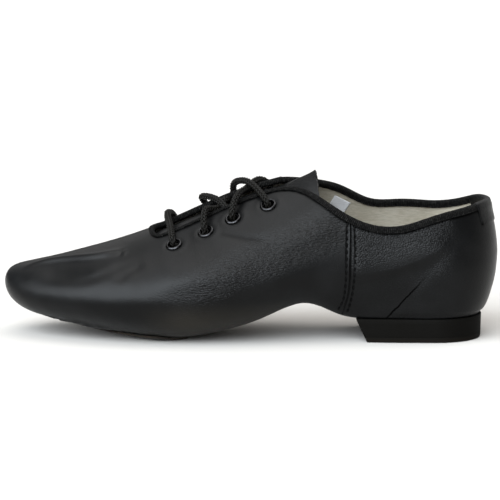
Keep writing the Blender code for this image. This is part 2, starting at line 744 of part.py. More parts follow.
def make_laces(material, collection, cutters):
    """The runs of lace that cross the throat above the tongue. Runs that cross are joined where they touch."""
    for name, runs in LACE_RUNS:
        meshes = []
        for leaves, side, number, reaches, far_side, far_number, rise, forward in runs:
            start, end = leaves(side, number), reaches(far_side, far_number)
            meshes.append(lace_tube(arch_over(start, end, rise, forward)))
        lace = make_object(name, meshes[0], material, collection)
        for other in meshes[1:]:
            crossing = bpy.data.objects.new(name + "_crossing", other)
            crossing.hide_render = True
            crossing.display_type = "WIRE"
            cutters.objects.link(crossing)
            join = lace.modifiers.new("crossing", "BOOLEAN")
            join.operation = "UNION"
            join.object = crossing


def make_material(name, colour, roughness, metallic=0.0):
    material = bpy.data.materials.new(name)
    material.use_nodes = True
    shader = material.node_tree.nodes["Principled BSDF"]
    shader.inputs["Base Color"].default_value = (*colour, 1.0)
    shader.inputs["Roughness"].default_value = roughness
    shader.inputs["Metallic"].default_value = metallic
    return material


def centre_on_floor(parts, cutters):
    """Hangs everything on one empty, moved so that the middle of the shoe's box stands over the origin."""
    bpy.context.view_layer.update()
    graph = bpy.context.evaluated_depsgraph_get()
    corners = []
    for obj in parts.objects:
        shape = obj.evaluated_get(graph)
        corners += [obj.matrix_world @ vert.co for vert in shape.data.vertices]
    shoe = bpy.data.objects.new("shoe", None)
    bpy.context.scene.collection.objects.link(shoe)
    for obj in list(parts.objects) + list(cutters.objects):
        obj.parent = shoe
    for axis in (0, 1):
        values = [corner[axis] for corner in corners]
        shoe.location[axis] = -(min(values) + max(values)) / 2


def main():
    for obj in list(bpy.data.objects):
        bpy.data.objects.remove(obj)
    parts = bpy.data.collections.new("split_sole_jazz_shoe")
    cutters = bpy.data.collections.new("cutters")
    for collection in (parts, cutters):
        bpy.context.scene.collection.children.link(collection)

    leather = make_material("black_leather", BLACK_LEATHER, 0.45)
    tape = make_material("black_tape", BLACK_TAPE, 0.9)
    rubber = make_material("black_rubber", BLACK_RUBBER, 0.8)
    suede = make_material("brown_suede", BROWN_SUEDE, 0.95)
    lining = make_material("pale_lining", PALE_LINING, 0.9)
    metal = make_material("dark_metal", DARK_METAL, 0.3, 1.0)

    upper = make_upper(leather, parts)
    punch_eyelet_holes(upper, cutters)
    make_sole(suede, parts)
    make_heel(rubber, parts)
    make_insole(lining, parts)
    make_tongue(leather, parts)
    make_binding(tape, parts)
    make_back_tab(leather, parts)
    make_eyelets(metal, parts)
    make_laces(tape, parts, cutters)
    centre_on_floor(parts, cutters)


main()
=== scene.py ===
import math

import bmesh
import bpy
import numpy as np
from mathutils import Matrix, Vector


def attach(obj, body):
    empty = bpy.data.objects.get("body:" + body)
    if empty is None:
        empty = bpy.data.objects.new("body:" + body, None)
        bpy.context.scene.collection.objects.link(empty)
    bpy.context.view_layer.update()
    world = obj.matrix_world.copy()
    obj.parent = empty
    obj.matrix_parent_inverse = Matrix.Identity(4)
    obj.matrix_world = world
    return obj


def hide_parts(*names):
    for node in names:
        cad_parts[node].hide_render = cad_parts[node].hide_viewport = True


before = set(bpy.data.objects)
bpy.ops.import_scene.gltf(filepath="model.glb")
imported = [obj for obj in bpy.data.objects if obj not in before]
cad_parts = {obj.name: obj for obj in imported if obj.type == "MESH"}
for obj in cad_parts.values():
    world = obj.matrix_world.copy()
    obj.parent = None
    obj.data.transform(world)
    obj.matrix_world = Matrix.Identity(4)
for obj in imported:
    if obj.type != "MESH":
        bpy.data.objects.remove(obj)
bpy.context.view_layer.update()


# The upper: a vamp and two quarters of thin black leather, sewn together, pulled over a last and cemented
# under the foot. Its shape is read from the last, a table of sections from the toe to the centre of the back.
MM = 0.001
LATERAL, MEDIAL = -1, 1
SIDES = (LATERAL, MEDIAL)
LAST_ORIGIN = np.array((0.2416, 1.1097, 0.0))
# Each section of the last: its place, its middle and half width, the height of the bed and its roll to one side,
# the feather edge's share of the half width, the heights of the widest line and of the top line, where the top line
# lies across, how far the roof leans, and how full it is. From the heel's row on, sections turn about an axis.
COLUMNS = "x y_mid half bottom roll feather side top y_top lean roof".split()
LAST = (
    (-127.5, 6.0, 0.0, 27.0, 0.0, 0.50, 27.0, 27.0, 6.0, 0.0, 2.00),
    (-124.0, 6.0, 12.5, 18.8, 0.0, 0.46, 24.4, 33.8, 6.0, 0.0, 2.00),
    (-113.5, 5.6, 22.8, 12.4, 0.0, 0.46, 22.2, 37.0, 6.0, 0.0, 2.00),
    (-97.0, 4.2, 31.5, 8.9, 0.0, 0.46, 21.4, 40.6, 5.6, 0.6, 2.00),
    (-78.0, 2.2, 37.8, 6.0, 0.0, 0.46, 21.4, 45.5, 5.0, 1.6, 1.98),
    (-57.0, 0.2, 41.4, 2.8, 0.0, 0.46, 22.0, 51.9, 4.2, 4.0, 1.90),
    (-35.0, -1.6, 42.0, 1.9, 0.0, 0.48, 23.5, 60.4, 3.2, 8.4, 1.80),
    (-13.0, -2.8, 40.4, 6.2, 1.0, 0.50, 27.5, 70.0, 2.2, 11.0, 1.75),
    (8.0, -3.0, 37.2, 13.8, 2.4, 0.52, 33.0, 77.4, 1.4, 11.0, 1.75),
    (28.0, -2.2, 34.0, 21.0, 2.6, 0.56, 37.0, 83.0, 0.8, 8.6, 1.80),
    (46.0, -1.2, 32.0, 14.8, 1.2, 0.68, 37.0, 88.0, 0.4, 5.0, 1.86),
    (62.0, -0.4, 31.0, 12.4, 0.0, 0.80, 36.5, 92.0, 0.2, 2.0, 1.92),
    (78.5, 0.0, 30.6, 12.4, 0.0, 0.85, 36.5, 95.0, 0.0, 0.0, 2.00),
    (95.0, 0.0, 30.4, 12.4, 0.0, 0.86, 37.0, 97.0, 0.0, 0.0, 2.00),
    (95.0, 0.0, 30.6, 12.4, 0.0, 0.83, 39.0, 98.0, 0.0, 0.0, 2.00),
    (95.0, 0.0, 31.4, 12.4, 0.0, 0.76, 42.0, 97.0, 0.0, 0.0, 2.00),
    (95.0, 0.0, 32.0, 12.4, 0.0, 0.70, 44.0, 96.0, 0.0, 0.0, 2.00),
)
SEAT_ROW, HEEL_ROW, BACK_ROW = 11, 13, 16
HEEL_AXIS_X, HEEL_DEGREES = 95.0, 30
HEEL_TURN = math.radians(HEEL_DEGREES)
HEEL_STEP = LAST[HEEL_ROW][2] * HEEL_TURN
WELT_CURVE = 1.65
WALL, LEATHER, LINING_SKIN = 1.6, 0.9, 0.95

THROAT_FRONT_X, THROAT_BACK_X, THROAT_END = -50.8, 22.0, 6.5
THROAT_HALF_FRONT, THROAT_HALF_BACK, THROAT_TAPER = 14.6, 6.8, 1.6
COLLAR_ROW = 8
COLLAR = {
    LATERAL: (79.0, 76.2, 66.6, 59.8, 59.6, 64.7, 67.9, 70.2, 70.6),
    MEDIAL: (81.0, 78.4, 74.4, 66.7, 66.1, 65.3, 66.9, 70.3, 70.6),
}
COLLAR_BLEND = 0.16
CORNER_ROW = 8.1
RIB_BEND = 1.7
MARGIN = 0.55
FOREFOOT_OPEN_X, HEEL_OPEN_X = (-90.0, -38.0), 72.0
COUNTER_STEP, COUNTER_SOFT, COUNTER_FRONT_SOFT = 0.6, 2.5, 8.0
COUNTER_FOOT, COUNTER_HEAD, COUNTER_Z = (72.0, 13.5), (97.0, 42.0), (32.0, 62.0)


def smooth(x):
    """A soft step from 0 at 0 to 1 at 1."""
    x = np.clip(x, 0, 1)
    return x * x * (3 - 2 * x)


def band(value, rise, fall):
    """1 between two soft steps: up over the pair rise, and down over the pair fall."""
    return smooth((value - rise[0]) / (rise[1] - rise[0])) * smooth((fall[1] - value) / (fall[1] - fall[0]))


def hump(distance, width):
    """1 at no distance, and soft to either side."""
    return np.exp(-((distance / width) ** 2))


def arc_length(line):
    """How far along a line of points each of them is."""
    return np.concatenate(((0,), np.cumsum(np.linalg.norm(np.diff(line, axis=0), axis=1))))


def spline(values, start=None, end=None):
    """The smoothest cubic through equally spaced values, free or held to a slope at each end."""
    values = np.array(values, float)
    n = len(values)
    matrix, known = np.zeros((n, n)), np.zeros(n)
    for i in range(1, n - 1):
        matrix[i, i - 1 : i + 2] = 1, 4, 1
        known[i] = 3 * (values[i + 1] - values[i - 1])
    for i, inner, held in ((0, 1, start), (n - 1, n - 2, end)):
        matrix[i, i], matrix[i, inner] = (2, 1) if held is None else (1, 0)
        known[i] = 3 * (values[inner] - values[i]) * (inner - i) if held is None else held
    slopes = np.linalg.solve(matrix, known)

    def at(u):
        u = np.clip(u, 0, n - 1)
        i = np.minimum(u.astype(int), n - 2)
        t = u - i
        rise = values[i + 1] - values[i]
        bend = (slopes[i] - rise) * (1 - t) - (slopes[i + 1] - rise) * t
        return values[i] + t * (rise + (1 - t) * bend)

    return at


LEVEL = (0.0, 0.0)
ENDS = {"x": (0.0, HEEL_STEP), "bottom": (None, 0.0), "y_mid": LEVEL, "y_top": LEVEL, "feather": LEVEL}
ROWS_USED = {"x": HEEL_ROW + 1, "bottom": SEAT_ROW + 1}
SECTION = {
    name: spline([row[i] for row in LAST][: ROWS_USED.get(name)], *ENDS.get(name, (None, 0.0)))
    for i, name in enumerate(COLUMNS)
}
COLLAR_HEIGHT = {side: spline(heights, None, 0.0) for side, heights in COLLAR.items()}


def last_point(u, side, q):
    """Points of the last. u counts its rows, and q climbs from the bed's middle, 0, by the feather edge, 1, and
    the widest line, 2, to the top line, 3."""
    u, side, q = np.broadcast_arrays(np.asarray(u, float), side, np.asarray(q, float))
    s = {name: curve(u) for name, curve in SECTION.items()}
    turn = HEEL_TURN * np.maximum(0, u - HEEL_ROW)
    foot = s["bottom"] + side * s["roll"] * s["feather"] * np.minimum(q, 1)
    wall, roof = np.clip(q - 1, 0, 1) * np.pi / 2, np.clip(q - 2, 0, 1) * np.pi / 2
    swell, drop = np.sin(wall) ** (2 / WELT_CURVE), np.maximum(np.cos(wall), 0) ** (2 / WELT_CURVE)
    offset = side * (s["y_top"] - s["y_mid"])
    inward = np.maximum(np.cos(roof), 0) ** (2 / s["roof"])
    crown = s["top"] + side * s["lean"] * inward
    bed_out = s["half"] * s["feather"] * np.minimum(q, 1)
    wall_out = s["half"] * (s["feather"] + (1 - s["feather"]) * swell)
    roof_out = offset + (s["half"] - offset) * inward
    out = np.where(q <= 1, bed_out, np.where(q <= 2, wall_out, roof_out))
    wall_z = s["side"] - (s["side"] - foot) * drop
    roof_z = s["side"] + (crown - s["side"]) * np.sin(roof) ** (2 / s["roof"])
    z = np.where(q <= 1, foot, np.where(q <= 2, wall_z, roof_z))
    return np.stack((s["x"] + out * np.sin(turn), s["y_mid"] + side * out * np.cos(turn), z), -1)


def unit(vectors):
    """Directions of length 1."""
    return vectors / np.maximum(np.linalg.norm(vectors, axis=-1, keepdims=True), 1e-12)


POLE_U, POLE_Q = 0.03, 0.02


def last_tangents(u, side, q):
    """How a point moves with u and with q."""
    step = 0.002
    u0, u1 = np.maximum(0.0, u - step), np.minimum(BACK_ROW, u + step)
    q0, q1 = np.maximum(POLE_Q, q - step), np.minimum(3.0, np.maximum(POLE_Q, q) + step)
    along = (last_point(u1, side, q) - last_point(u0, side, q)) / (u1 - u0)[..., None]
    up = (last_point(u, side, q1) - last_point(u, side, q0)) / (q1 - q0)[..., None]
    return along, up


def last_normal(u, side, q):
    """Straight out of the last: forward at the tip of the toe, and down at the middle of the heel seat."""
    u, side, q = np.broadcast_arrays(np.asarray(u, float), side, np.asarray(q, float))
    along, up = last_tangents(np.maximum(u, POLE_U), side, q)
    normal = unit(-side[..., None] * np.cross(along, up))
    normal = np.where((u < POLE_U)[..., None], (-1.0, 0.0, 0.0), normal)
    return np.where(((u > HEEL_ROW) & (q < 0.1))[..., None], (0.0, 0.0, -1.0), normal)


ROW_STEPS = np.linspace(0, HEEL_ROW, 4000)
ROW_X = SECTION["x"](ROW_STEPS)


def row_at(x):
    """The row number whose section stands at x."""
    return np.interp(x, ROW_X, ROW_STEPS)


def q_at_height(u, side, z, low=2.0):
    """q above the line low where the last is at height z, or 3 where it stays under it."""
    steps = np.linspace(low, 3, 161)
    u, z = np.broadcast_arrays(np.atleast_1d(np.asarray(u, float)), z)
    heights = last_point(u[:, None], side, steps[None, :])[..., 2]
    return np.array([np.interp(want, line, steps) for want, line in zip(z, heights)])


def q_from_top(u, side, distance):
    """q at this distance across from the top line."""
    half, shift = SECTION["half"](u), SECTION["y_top"](u) - SECTION["y_mid"](u)
    out = np.clip(distance / (half - side * shift), 0, 1) ** (SECTION["roof"](u) / 2)
    return 2 + np.arccos(out) * 2 / np.pi


def round_end(distance, radius):
    """Rises from 0 to 1 over the radius as a quarter circle does."""
    return np.sqrt(1 - (1 - np.clip(distance / radius, 0, 1)) ** 2)


def throat_half(x):
    """Half the throat's width at x."""
    along = np.clip((x - THROAT_FRONT_X) / (THROAT_BACK_X - THROAT_FRONT_X), 0, 1)
    half = THROAT_HALF_BACK + (THROAT_HALF_FRONT - THROAT_HALF_BACK) * (1 - along) ** THROAT_TAPER
    return half * round_end(x - THROAT_FRONT_X, THROAT_END)


def edge_q(u, side):
    """q of the upper's edge: the top line over the vamp, then the throat, then the collar."""
    u = np.atleast_1d(np.asarray(u, float))
    x = SECTION["x"](u)
    throat = q_from_top(u, side, throat_half(x))
    collar = q_at_height(u, side, COLLAR_HEIGHT[side](np.maximum(u - COLLAR_ROW, 0)))
    mix = np.clip(0.5 + (throat - collar) / (2 * COLLAR_BLEND), 0, 1) * (u > COLLAR_ROW)
    lower = throat + (collar - throat) * mix - COLLAR_BLEND * mix * (1 - mix)
    return np.where(x <= THROAT_FRONT_X, 3.0, lower)


def margin_q(u):
    """q where the leather ends under the foot: 0 under the toe and the arch, where it closes."""
    x = SECTION["x"](u)
    front, back = FOREFOOT_OPEN_X
    forefoot = MARGIN * round_end(np.maximum(0, np.minimum(x - front, back - x)), (back - front) / 2)
    heel = MARGIN * round_end(np.maximum(0, x - HEEL_OPEN_X), HEEL_AXIS_X - HEEL_OPEN_X)
    return np.where(u >= HEEL_ROW, MARGIN, np.maximum(forefoot, heel))


INSTEP_CREASE = ((-13.0, 55.0), (-10.6, 54.7), (-2.1, 53.8), (6.4, 53.2), (9.0, 53.0))
# The creases that wear has left, listed one by one. Columns: side, height in millimetres (a ridge is above 0), half
# width under the line and over it, the share of its length over which each end fades, and x and z along it.
CREASES = (
    (LATERAL, 2.15, 2.1, 4.4, 0.32,
     ((-119.0, 34.0), (-110.7, 36.3), (-97.3, 38.9), (-86.6, 40.5), (-76.2, 42.1), (-66.9, 44.4), (-61.0, 46.0))),
    (LATERAL, -0.9, 6.0, 6.0, 0.50, ((-112.0, 33.0), (-104.6, 33.4), (-96.2, 33.5), (-83.1, 33.6), (-74.0, 35.2))),
    (LATERAL, 0.32, 3.2, 3.2, 0.40, ((-88.3, 33.5), (-78.0, 35.8), (-70.2, 38.6), (-61.1, 41.3))),
    (LATERAL, -0.40, 3.0, 3.0, 0.40,
     ((-90.7, 31.6), (-82.9, 32.7), (-75.2, 34.9), (-67.5, 37.7), (-60.1, 40.2), (-53.6, 43.4))),
    (LATERAL, -0.45, 2.8, 2.8, 0.35, ((-67.3, 31.6), (-63.7, 34.9), (-57.3, 38.6), (-51.4, 41.3))),
    (LATERAL, -0.35, 2.0, 2.2, 0.35, INSTEP_CREASE),
    (LATERAL, 1.8, 3.3, 13.0, 0.25, ((50.0, 36.0), (58.2, 36.6), (76.3, 40.0), (91.3, 46.4), (103.4, 53.0))),
    (LATERAL, -0.55, 0.9, 0.9, 0.30, ((-64.0, 46.1), (-65.3, 44.6), (-65.6, 43.0))),
    (LATERAL, 0.45, 1.2, 1.2, 0.40, ((-62.9, 46.0), (-63.8, 44.4), (-63.9, 42.8))),
    (LATERAL, -0.25, 0.8, 0.8, 0.30, ((-71.1, 43.3), (-67.9, 44.0))),
    (LATERAL, 0.60, 4.0, 8.0, 0.35, ((12.0, 47.5), (18.1, 49.8), (28.1, 54.1), (38.1, 58.4), (46.6, 62.3))),
    (LATERAL, 1.9, 6.0, 13.0, 0.30,
     ((-56.0, 29.4), (-41.5, 32.4), (-31.0, 34.2), (-18.0, 35.4), (-5.0, 37.0), (9.0, 38.6))),
    (LATERAL, 1.0, 3.0, 3.0, 0.40, ((-98.0, 11.0), (-88.0, 9.0), (-76.0, 6.8), (-62.0, 5.4))),
    (MEDIAL, 0.8, 2.6, 3.2, 0.35, ((-104.0, 36.0), (-90.0, 38.6), (-76.0, 41.0), (-64.0, 43.8))),
    (MEDIAL, -0.8, 5.0, 5.0, 0.35, ((-100.0, 31.0), (-88.0, 32.0), (-74.0, 33.6), (-60.0, 37.5))),
    (MEDIAL, -0.5, 2.6, 2.6, 0.35, ((-72.0, 36.5), (-64.0, 40.0), (-55.0, 44.0))),
    (MEDIAL, -0.4, 2.6, 2.6, 0.35, ((-14.0, 58.0), (-4.0, 56.5), (7.0, 56.0))),
    (MEDIAL, 1.2, 5.0, 12.0, 0.30, ((58.2, 43.0), (76.3, 46.5), (91.3, 51.1), (102.0, 56.0))),
)
# The seam of vamp and quarter, its two rows of stitches, and the crease along the front of the heel counter, which
# is under the leather. Each has x and z along it.
SEAM = (
    (51.6, 64.5), (51.6, 61.8), (51.5, 50.7), (51.1, 40.5), (51.0, 33.6), (50.3, 26.2), (48.9, 20.8), (47.2, 14.9),
)
SEAM_FRONT = ((49.7, 64.0), (49.4, 50.7), (49.2, 40.2), (48.7, 30.0), (47.6, 22.4), (45.4, 17.6))
SEAM_BACK = ((53.1, 62.0), (53.6, 50.6), (53.3, 40.6), (52.9, 31.5), (52.2, 25.6), (51.0, 20.0), (49.9, 16.6))
COUNTER_CREASE = ((70.3, 13.6), (91.0, 36.8))
SEAM_RELIEF = (
    # height, half width, how much shade is painted along the line, line
    (-0.55, 0.50, 0.9, SEAM),
    (0.16, 1.3, 0.0, SEAM),
    (-0.34, 0.48, 0.40, SEAM_FRONT),
    (-0.34, 0.48, 0.40, SEAM_BACK),
)
SEAM_STEPS = 90


def on_side(side, line, count=48):
    """u and q of a smooth line through x, z pairs on one side of the shoe. Round the heel they are found in turn,
    each from the other."""
    steps = np.linspace(0, len(line) - 1, count)
    x, z = (spline(column)(steps) for column in zip(*line))
    behind = np.maximum(0, x - HEEL_AXIS_X)
    u = row_at(np.minimum(x, HEEL_AXIS_X))
    for _ in range(4):
        q = q_at_height(u, side, z, 1.02)
        reach = np.hypot(last_point(u, side, q)[:, 1], behind)
        u = np.where(behind > 0, HEEL_ROW + np.arcsin(np.clip(behind / reach, 0, 1)) / HEEL_TURN, u)
    return u, q


def side_line(side, line, count=48):
    """Points of the last along such a line."""
    u, q = on_side(side, line, count)
    return last_point(u, side, q)


def near_line(points, line, reach):
    """Each point's distance to a line of points, and how far along the line it is, 0 to 1."""
    distance, along = np.full(len(points), 1e9), np.zeros(len(points))
    low, high = line.min(0) - reach, line.max(0) + reach
    close = np.nonzero(((points > low) & (points < high)).all(1))[0]
    for i in range(len(line) - 1):
        start, run = line[i], line[i + 1] - line[i]
        t = np.clip((points[close] - start) @ run / (run @ run), 0, 1)
        gap = np.linalg.norm(points[close] - start - t[:, None] * run, axis=1)
        better = gap < distance[close]
        distance[close[better]] = gap[better]
        along[close[better]] = (i + t[better]) / (len(line) - 1)
    return distance, along


def trough(points, line, height, width, foot_fade=0.0, head_fade=0.0, over=None):
    """A soft ridge or trough along a line, faded at its ends, as wide over the line as under it or not."""
    distance, along = near_line(points, line, 3 * max(width, over or 0))
    if over:
        foot = np.interp(along, np.linspace(0, 1, len(line)), line[:, 2])
        width = np.where(points[:, 2] > foot, over, width)
    fade = np.ones(len(points))
    if foot_fade:
        fade *= smooth(along / foot_fade)
    if head_fade:
        fade *= smooth((1 - along) / head_fade)
    return height * fade * hump(distance, width)


CREASE_LINES = [side_line(row[0], row[-1]) for row in CREASES]


def folds(points, side):
    """How far the counter and the creases lift the leather at these points."""
    (foot_x, foot_z), (head_x, head_z) = COUNTER_FOOT, COUNTER_HEAD
    run, rise = head_x - foot_x, head_z - foot_z
    behind = ((points[:, 0] - foot_x) * rise - (points[:, 2] - foot_z) * run) / math.hypot(run, rise)
    lift = COUNTER_STEP * smooth(behind / COUNTER_FRONT_SOFT + 0.5)
    lift *= band(points[:, 2], (foot_z, foot_z + COUNTER_SOFT), COUNTER_Z)
    for (crease_side, height, under, over, fade, _), line in zip(CREASES, CREASE_LINES):
        here = np.nonzero(side == crease_side)[0]
        lift[here] += trough(points[here], line, height, under, fade, fade, over)
    return lift


CREST_EASE = 0.07


def skin(u, side, q, lift=0.0):
    """Points of the leather's outer face, or lift millimetres off it. Its two sides agree along the top line."""
    u, side, q, lift = np.broadcast_arrays(np.asarray(u, float), side, np.asarray(q, float), lift)
    points = last_point(u, side, q)
    rise = folds(points.reshape(-1, 3), side.reshape(-1)).reshape(u.shape) * smooth((3 - q) / CREST_EASE)
    return points + (rise + lift)[..., None] * last_normal(u, side, q)


def even_rows(line, u, count, density):
    """count + 1 values of u at even steps along a line of points, closer where density is higher."""
    middle = (line[1:, 0] + line[:-1, 0]) / 2
    steps = np.linalg.norm(np.diff(line, axis=0), axis=1) * density(middle)
    length = np.concatenate(((0,), np.cumsum(steps)))
    return np.interp(np.linspace(0, length[-1], count + 1), length, u)


def crowding(x):
    """Ribs stand closer along the seam and along the front of the counter."""
    return 1 + 2.4 * hump(x - 51, 4.5) + 0.9 * hump(x - 81, 11)


VAMP_RIBS, THROAT_RIBS, QUARTER_RIBS, HEEL_RIBS = 74, 76, 176, 46
# Rows over the bed, the wall and the roof, on the faces of the leather and of the lining.
OUTER_ROWS, INNER_ROWS, LINING_ROWS = (6, 42, 50), (2, 6, 12), (3, 12, 16)


def rib_places():
    """u of every rib of the upper at its foot and at its edge."""
    front = float(row_at(THROAT_FRONT_X))
    edge = []
    stretches = ((0.0, front, VAMP_RIBS), (front, CORNER_ROW, THROAT_RIBS),
                 (CORNER_ROW, HEEL_ROW, QUARTER_RIBS), (HEEL_ROW, BACK_ROW, HEEL_RIBS))
    for start, end, count in stretches:
        u = start + (end - start) * np.linspace(0, 1, 600) ** (2 if start == front else 1)
        edge.append(even_rows(last_point(u, LATERAL, edge_q(u, LATERAL)), u, count, crowding)[bool(edge):])
    u = np.linspace(0.0, CORNER_ROW, 1200)
    foot = even_rows(last_point(u, LATERAL, 1.0), u, VAMP_RIBS + THROAT_RIBS, crowding)
    edge = np.concatenate(edge)
    return np.concatenate((foot, edge[len(foot):])), edge


RIB_FOOT, RIB_EDGE = rib_places()


def sheet_places(side, row_counts):
    """u and q of a grid over one side of the upper, ribs by rows."""
    bed, wall, roof = row_counts
    low, high = np.minimum(margin_q(RIB_FOOT), 0.98), edge_q(RIB_EDGE, side)
    rows = [low + (1 - low) * t for t in np.linspace(0, 1, bed + 1)]
    rows += [1 + 0 * low + t for t in np.linspace(0, 1, wall + 1)[1:]]
    rows += [2 + (high - 2) * t for t in np.linspace(0, 1, roof + 1)[1:]]
    q = np.stack(rows, 1)
    climb = smooth((q - RIB_BEND) / (high - RIB_BEND)[:, None])
    return RIB_FOOT[:, None] + (RIB_EDGE - RIB_FOOT)[:, None] * climb, q


def grid_faces(columns, rows, first=0, wrap_columns=False, wrap_rows=False):
    """Four corners for each face of a grid of points numbered column by column."""
    i, j = np.meshgrid(np.arange(columns - (not wrap_columns)), np.arange(rows - (not wrap_rows)), indexing="ij")
    i, j = i.ravel(), j.ravel()
    next_i, next_j = (i + 1) % columns, (j + 1) % rows
    return first + np.stack((i * rows + j, next_i * rows + j, next_i * rows + next_j, i * rows + next_j), 1)


def place_in_scene(name, data):
    """A new object of the scene."""
    obj = bpy.data.objects.new(name, data)
    bpy.context.scene.collection.objects.link(obj)
    return obj


def mesh_object(name, points, faces, weld=0.003, uv=None):
    """An object from points in the last's millimetres, its doubles joined and its faces turned out."""
    mesh = bpy.data.meshes.new(name)
    mesh.from_pydata(((np.asarray(points) + LAST_ORIGIN) * MM).tolist(), [], np.asarray(faces).tolist())
    if uv is not None:
        mesh.uv_layers.new(name="weave").data.foreach_set("uv", uv.astype(np.float32).ravel())
    bm = bmesh.new()
    bm.from_mesh(mesh)
    bmesh.ops.remove_doubles(bm, verts=bm.verts, dist=weld * MM)
    bmesh.ops.dissolve_degenerate(bm, edges=bm.edges, dist=1e-8)
    bmesh.ops.recalc_face_normals(bm, faces=bm.faces)
    bm.to_mesh(mesh)
    bm.free()
    mesh.shade_smooth()
    return place_in_scene(name, mesh)


SHELL_WELD = 0.04


def two_sided_shell(name, outer, inner, open_edge, open_margin):
    """A closed shell from the outer and inner sheets of both sides, which meet where the edges aren't open."""
    points, faces, first = [], [], 0
    for side in SIDES:
        starts = []
        for sheet in (outer[side], inner[side]):
            ribs, rows = sheet.shape[:2]
            faces.append(grid_faces(ribs, rows, first))
            starts.append((first, rows))
            points.append(sheet.reshape(-1, 3))
            first += ribs * rows
        ribs = np.arange(len(open_edge) - 1)
        for is_open, place in ((open_margin, 0), (open_edge, -1)):
            i = ribs[is_open[:-1] | is_open[1:]]
            (a, a_rows), (b, b_rows) = starts
            a_row, b_row = place % a_rows, place % b_rows
            faces.append(np.stack((a + i * a_rows + a_row, a + (i + 1) * a_rows + a_row,
                                   b + (i + 1) * b_rows + b_row, b + i * b_rows + b_row), 1))
    return mesh_object(name, np.concatenate(points), np.concatenate(faces), SHELL_WELD)


EYELET_X = np.array((-38.3, -22.2, -8.4, 9.5))
EYELET_FROM_EDGE = np.array((11.4, 11.0, 9.6, 8.8))
EYELET_HOLE, EYELET_FLANGE = 2.75, 4.35
SEAT_DEEP, SEAT_RADIUS = 0.30, EYELET_FLANGE + 0.3
PUCKER_HIGH, PUCKER_RADIUS, PUCKER_WIDE = 0.12, 6.0, 1.2


def eyelet_places(side):
    """u and q of one side's eyelets, from the front."""
    u = row_at(EYELET_X)
    return u, q_from_top(u, side, throat_half(EYELET_X) + EYELET_FROM_EDGE)


def fine_relief(points, side):
    """What shows on the leather's outer face alone: the seam, its stitch rows and the seats of the eyelets."""
    lift = np.zeros(len(points))
    for height, width, _, line in SEAM_RELIEF:
        lift += trough(points, side_line(side, line, SEAM_STEPS), height, width)
    u, q = eyelet_places(side)
    for centre in skin(u, side, q):
        gap = np.linalg.norm(points - centre, axis=1)
        lift += PUCKER_HIGH * hump(gap - PUCKER_RADIUS, PUCKER_WIDE) - SEAT_DEEP * np.exp(-((gap / SEAT_RADIUS) ** 6))
    return lift


PLEAT_PITCH, PLEAT_HIGH, PLEAT_RADIUS, PLEAT_CENTRE = 1.5, 0.80, 36.0, (-84.0, 6.0)


def toe_pleats(q, points):
    """The leather's gathers under the toe, where its slack is drawn in. They run out from one centre."""
    x, y = points[..., 0], points[..., 1]
    around = np.arctan2(y - PLEAT_CENTRE[1], x - PLEAT_CENTRE[0]) * PLEAT_RADIUS
    ripple = np.sin(around * 2 * np.pi / PLEAT_PITCH + 1.3 * np.sin(around * 0.37)) ** 3
    return PLEAT_HIGH * ripple * band(q, (0.35, 0.65), (1.0, 1.45)) * band(x, (-108, -98), (-84, -74))


def unevenness(points):
    """Soft lumps that leather keeps off the last."""
    x, y, z = points[..., 0], points[..., 1], points[..., 2]
    slow = np.sin(0.19 * x + 0.11 * z + 0.6 * np.sin(0.07 * y)) * np.sin(0.23 * z - 0.05 * x + 0.9)
    quick = np.sin(0.41 * x - 0.22 * y + 0.5) * np.sin(0.47 * z + 0.18 * x + 1.7)
    return 0.07 * slow + 0.03 * quick


outer, inner, lining_out, lining_in = {}, {}, {}, {}
for side in SIDES:
    u, q = sheet_places(side, OUTER_ROWS)
    points = last_point(u, side, q)
    # The lumps fade out where the two sides meet.
    fade = smooth((3.02 - q) / 0.1) * band(u, (0.05, 0.55), (BACK_ROW - 0.15, BACK_ROW))
    relief = fine_relief(points.reshape(-1, 3), side).reshape(q.shape)
    relief = relief + toe_pleats(q, points) + fade * unevenness(points)
    outer[side] = skin(u, side, q, relief)
    u, q = sheet_places(side, INNER_ROWS)
    inner[side] = skin(u, side, q, -LEATHER)
    u, q = sheet_places(side, LINING_ROWS)
    lining_out[side], lining_in[side] = skin(u, side, q, -LINING_SKIN), skin(u, side, q, -WALL)
open_edge, open_margin = SECTION["x"](RIB_EDGE) > THROAT_FRONT_X + 1e-6, margin_q(RIB_FOOT) > 1e-6
open_edge[-1] = True

upper = two_sided_shell("upper_leather", outer, inner, open_edge, open_margin)


def make_plain(obj):
    """Puts the evaluated mesh in place of an object's own mesh and modifiers."""
    bpy.context.view_layer.update()
    graph = bpy.context.evaluated_depsgraph_get()
    mesh = bpy.data.meshes.new_from_object(obj.evaluated_get(graph))
    obj.modifiers.clear()
    mesh.name = obj.name
    obj.data = mesh


PUNCH_SIDES, PUNCH_LONG = 24, 6.0


def punch_eyelets(obj):
    """Punches the round holes for the eyelets."""
    bm = bmesh.new()
    for side in SIDES:
        u, q = eyelet_places(side)
        for centre, axis in zip(skin(u, side, q), last_normal(u, side, q)):
            stand = Matrix.Translation(Vector((centre + LAST_ORIGIN - axis * WALL / 2) * MM))
            stand @= Vector(axis).to_track_quat("Z", "Y").to_matrix().to_4x4()
            bmesh.ops.create_cone(bm, cap_ends=True, segments=PUNCH_SIDES, radius1=EYELET_HOLE * MM,
                                  radius2=EYELET_HOLE * MM, depth=PUNCH_LONG * MM, matrix=stand)
    mesh = bpy.data.meshes.new("eyelet_punch")
    bm.to_mesh(mesh)
    bm.free()
    punch = place_in_scene("eyelet_punch", mesh)
    cut = obj.modifiers.new("eyelet holes", "BOOLEAN")
    cut.operation, cut.solver, cut.object = "DIFFERENCE", "MANIFOLD", punch
    make_plain(obj)
    obj.data.materials.clear()
    bpy.data.objects.remove(punch)


punch_eyelets(upper)


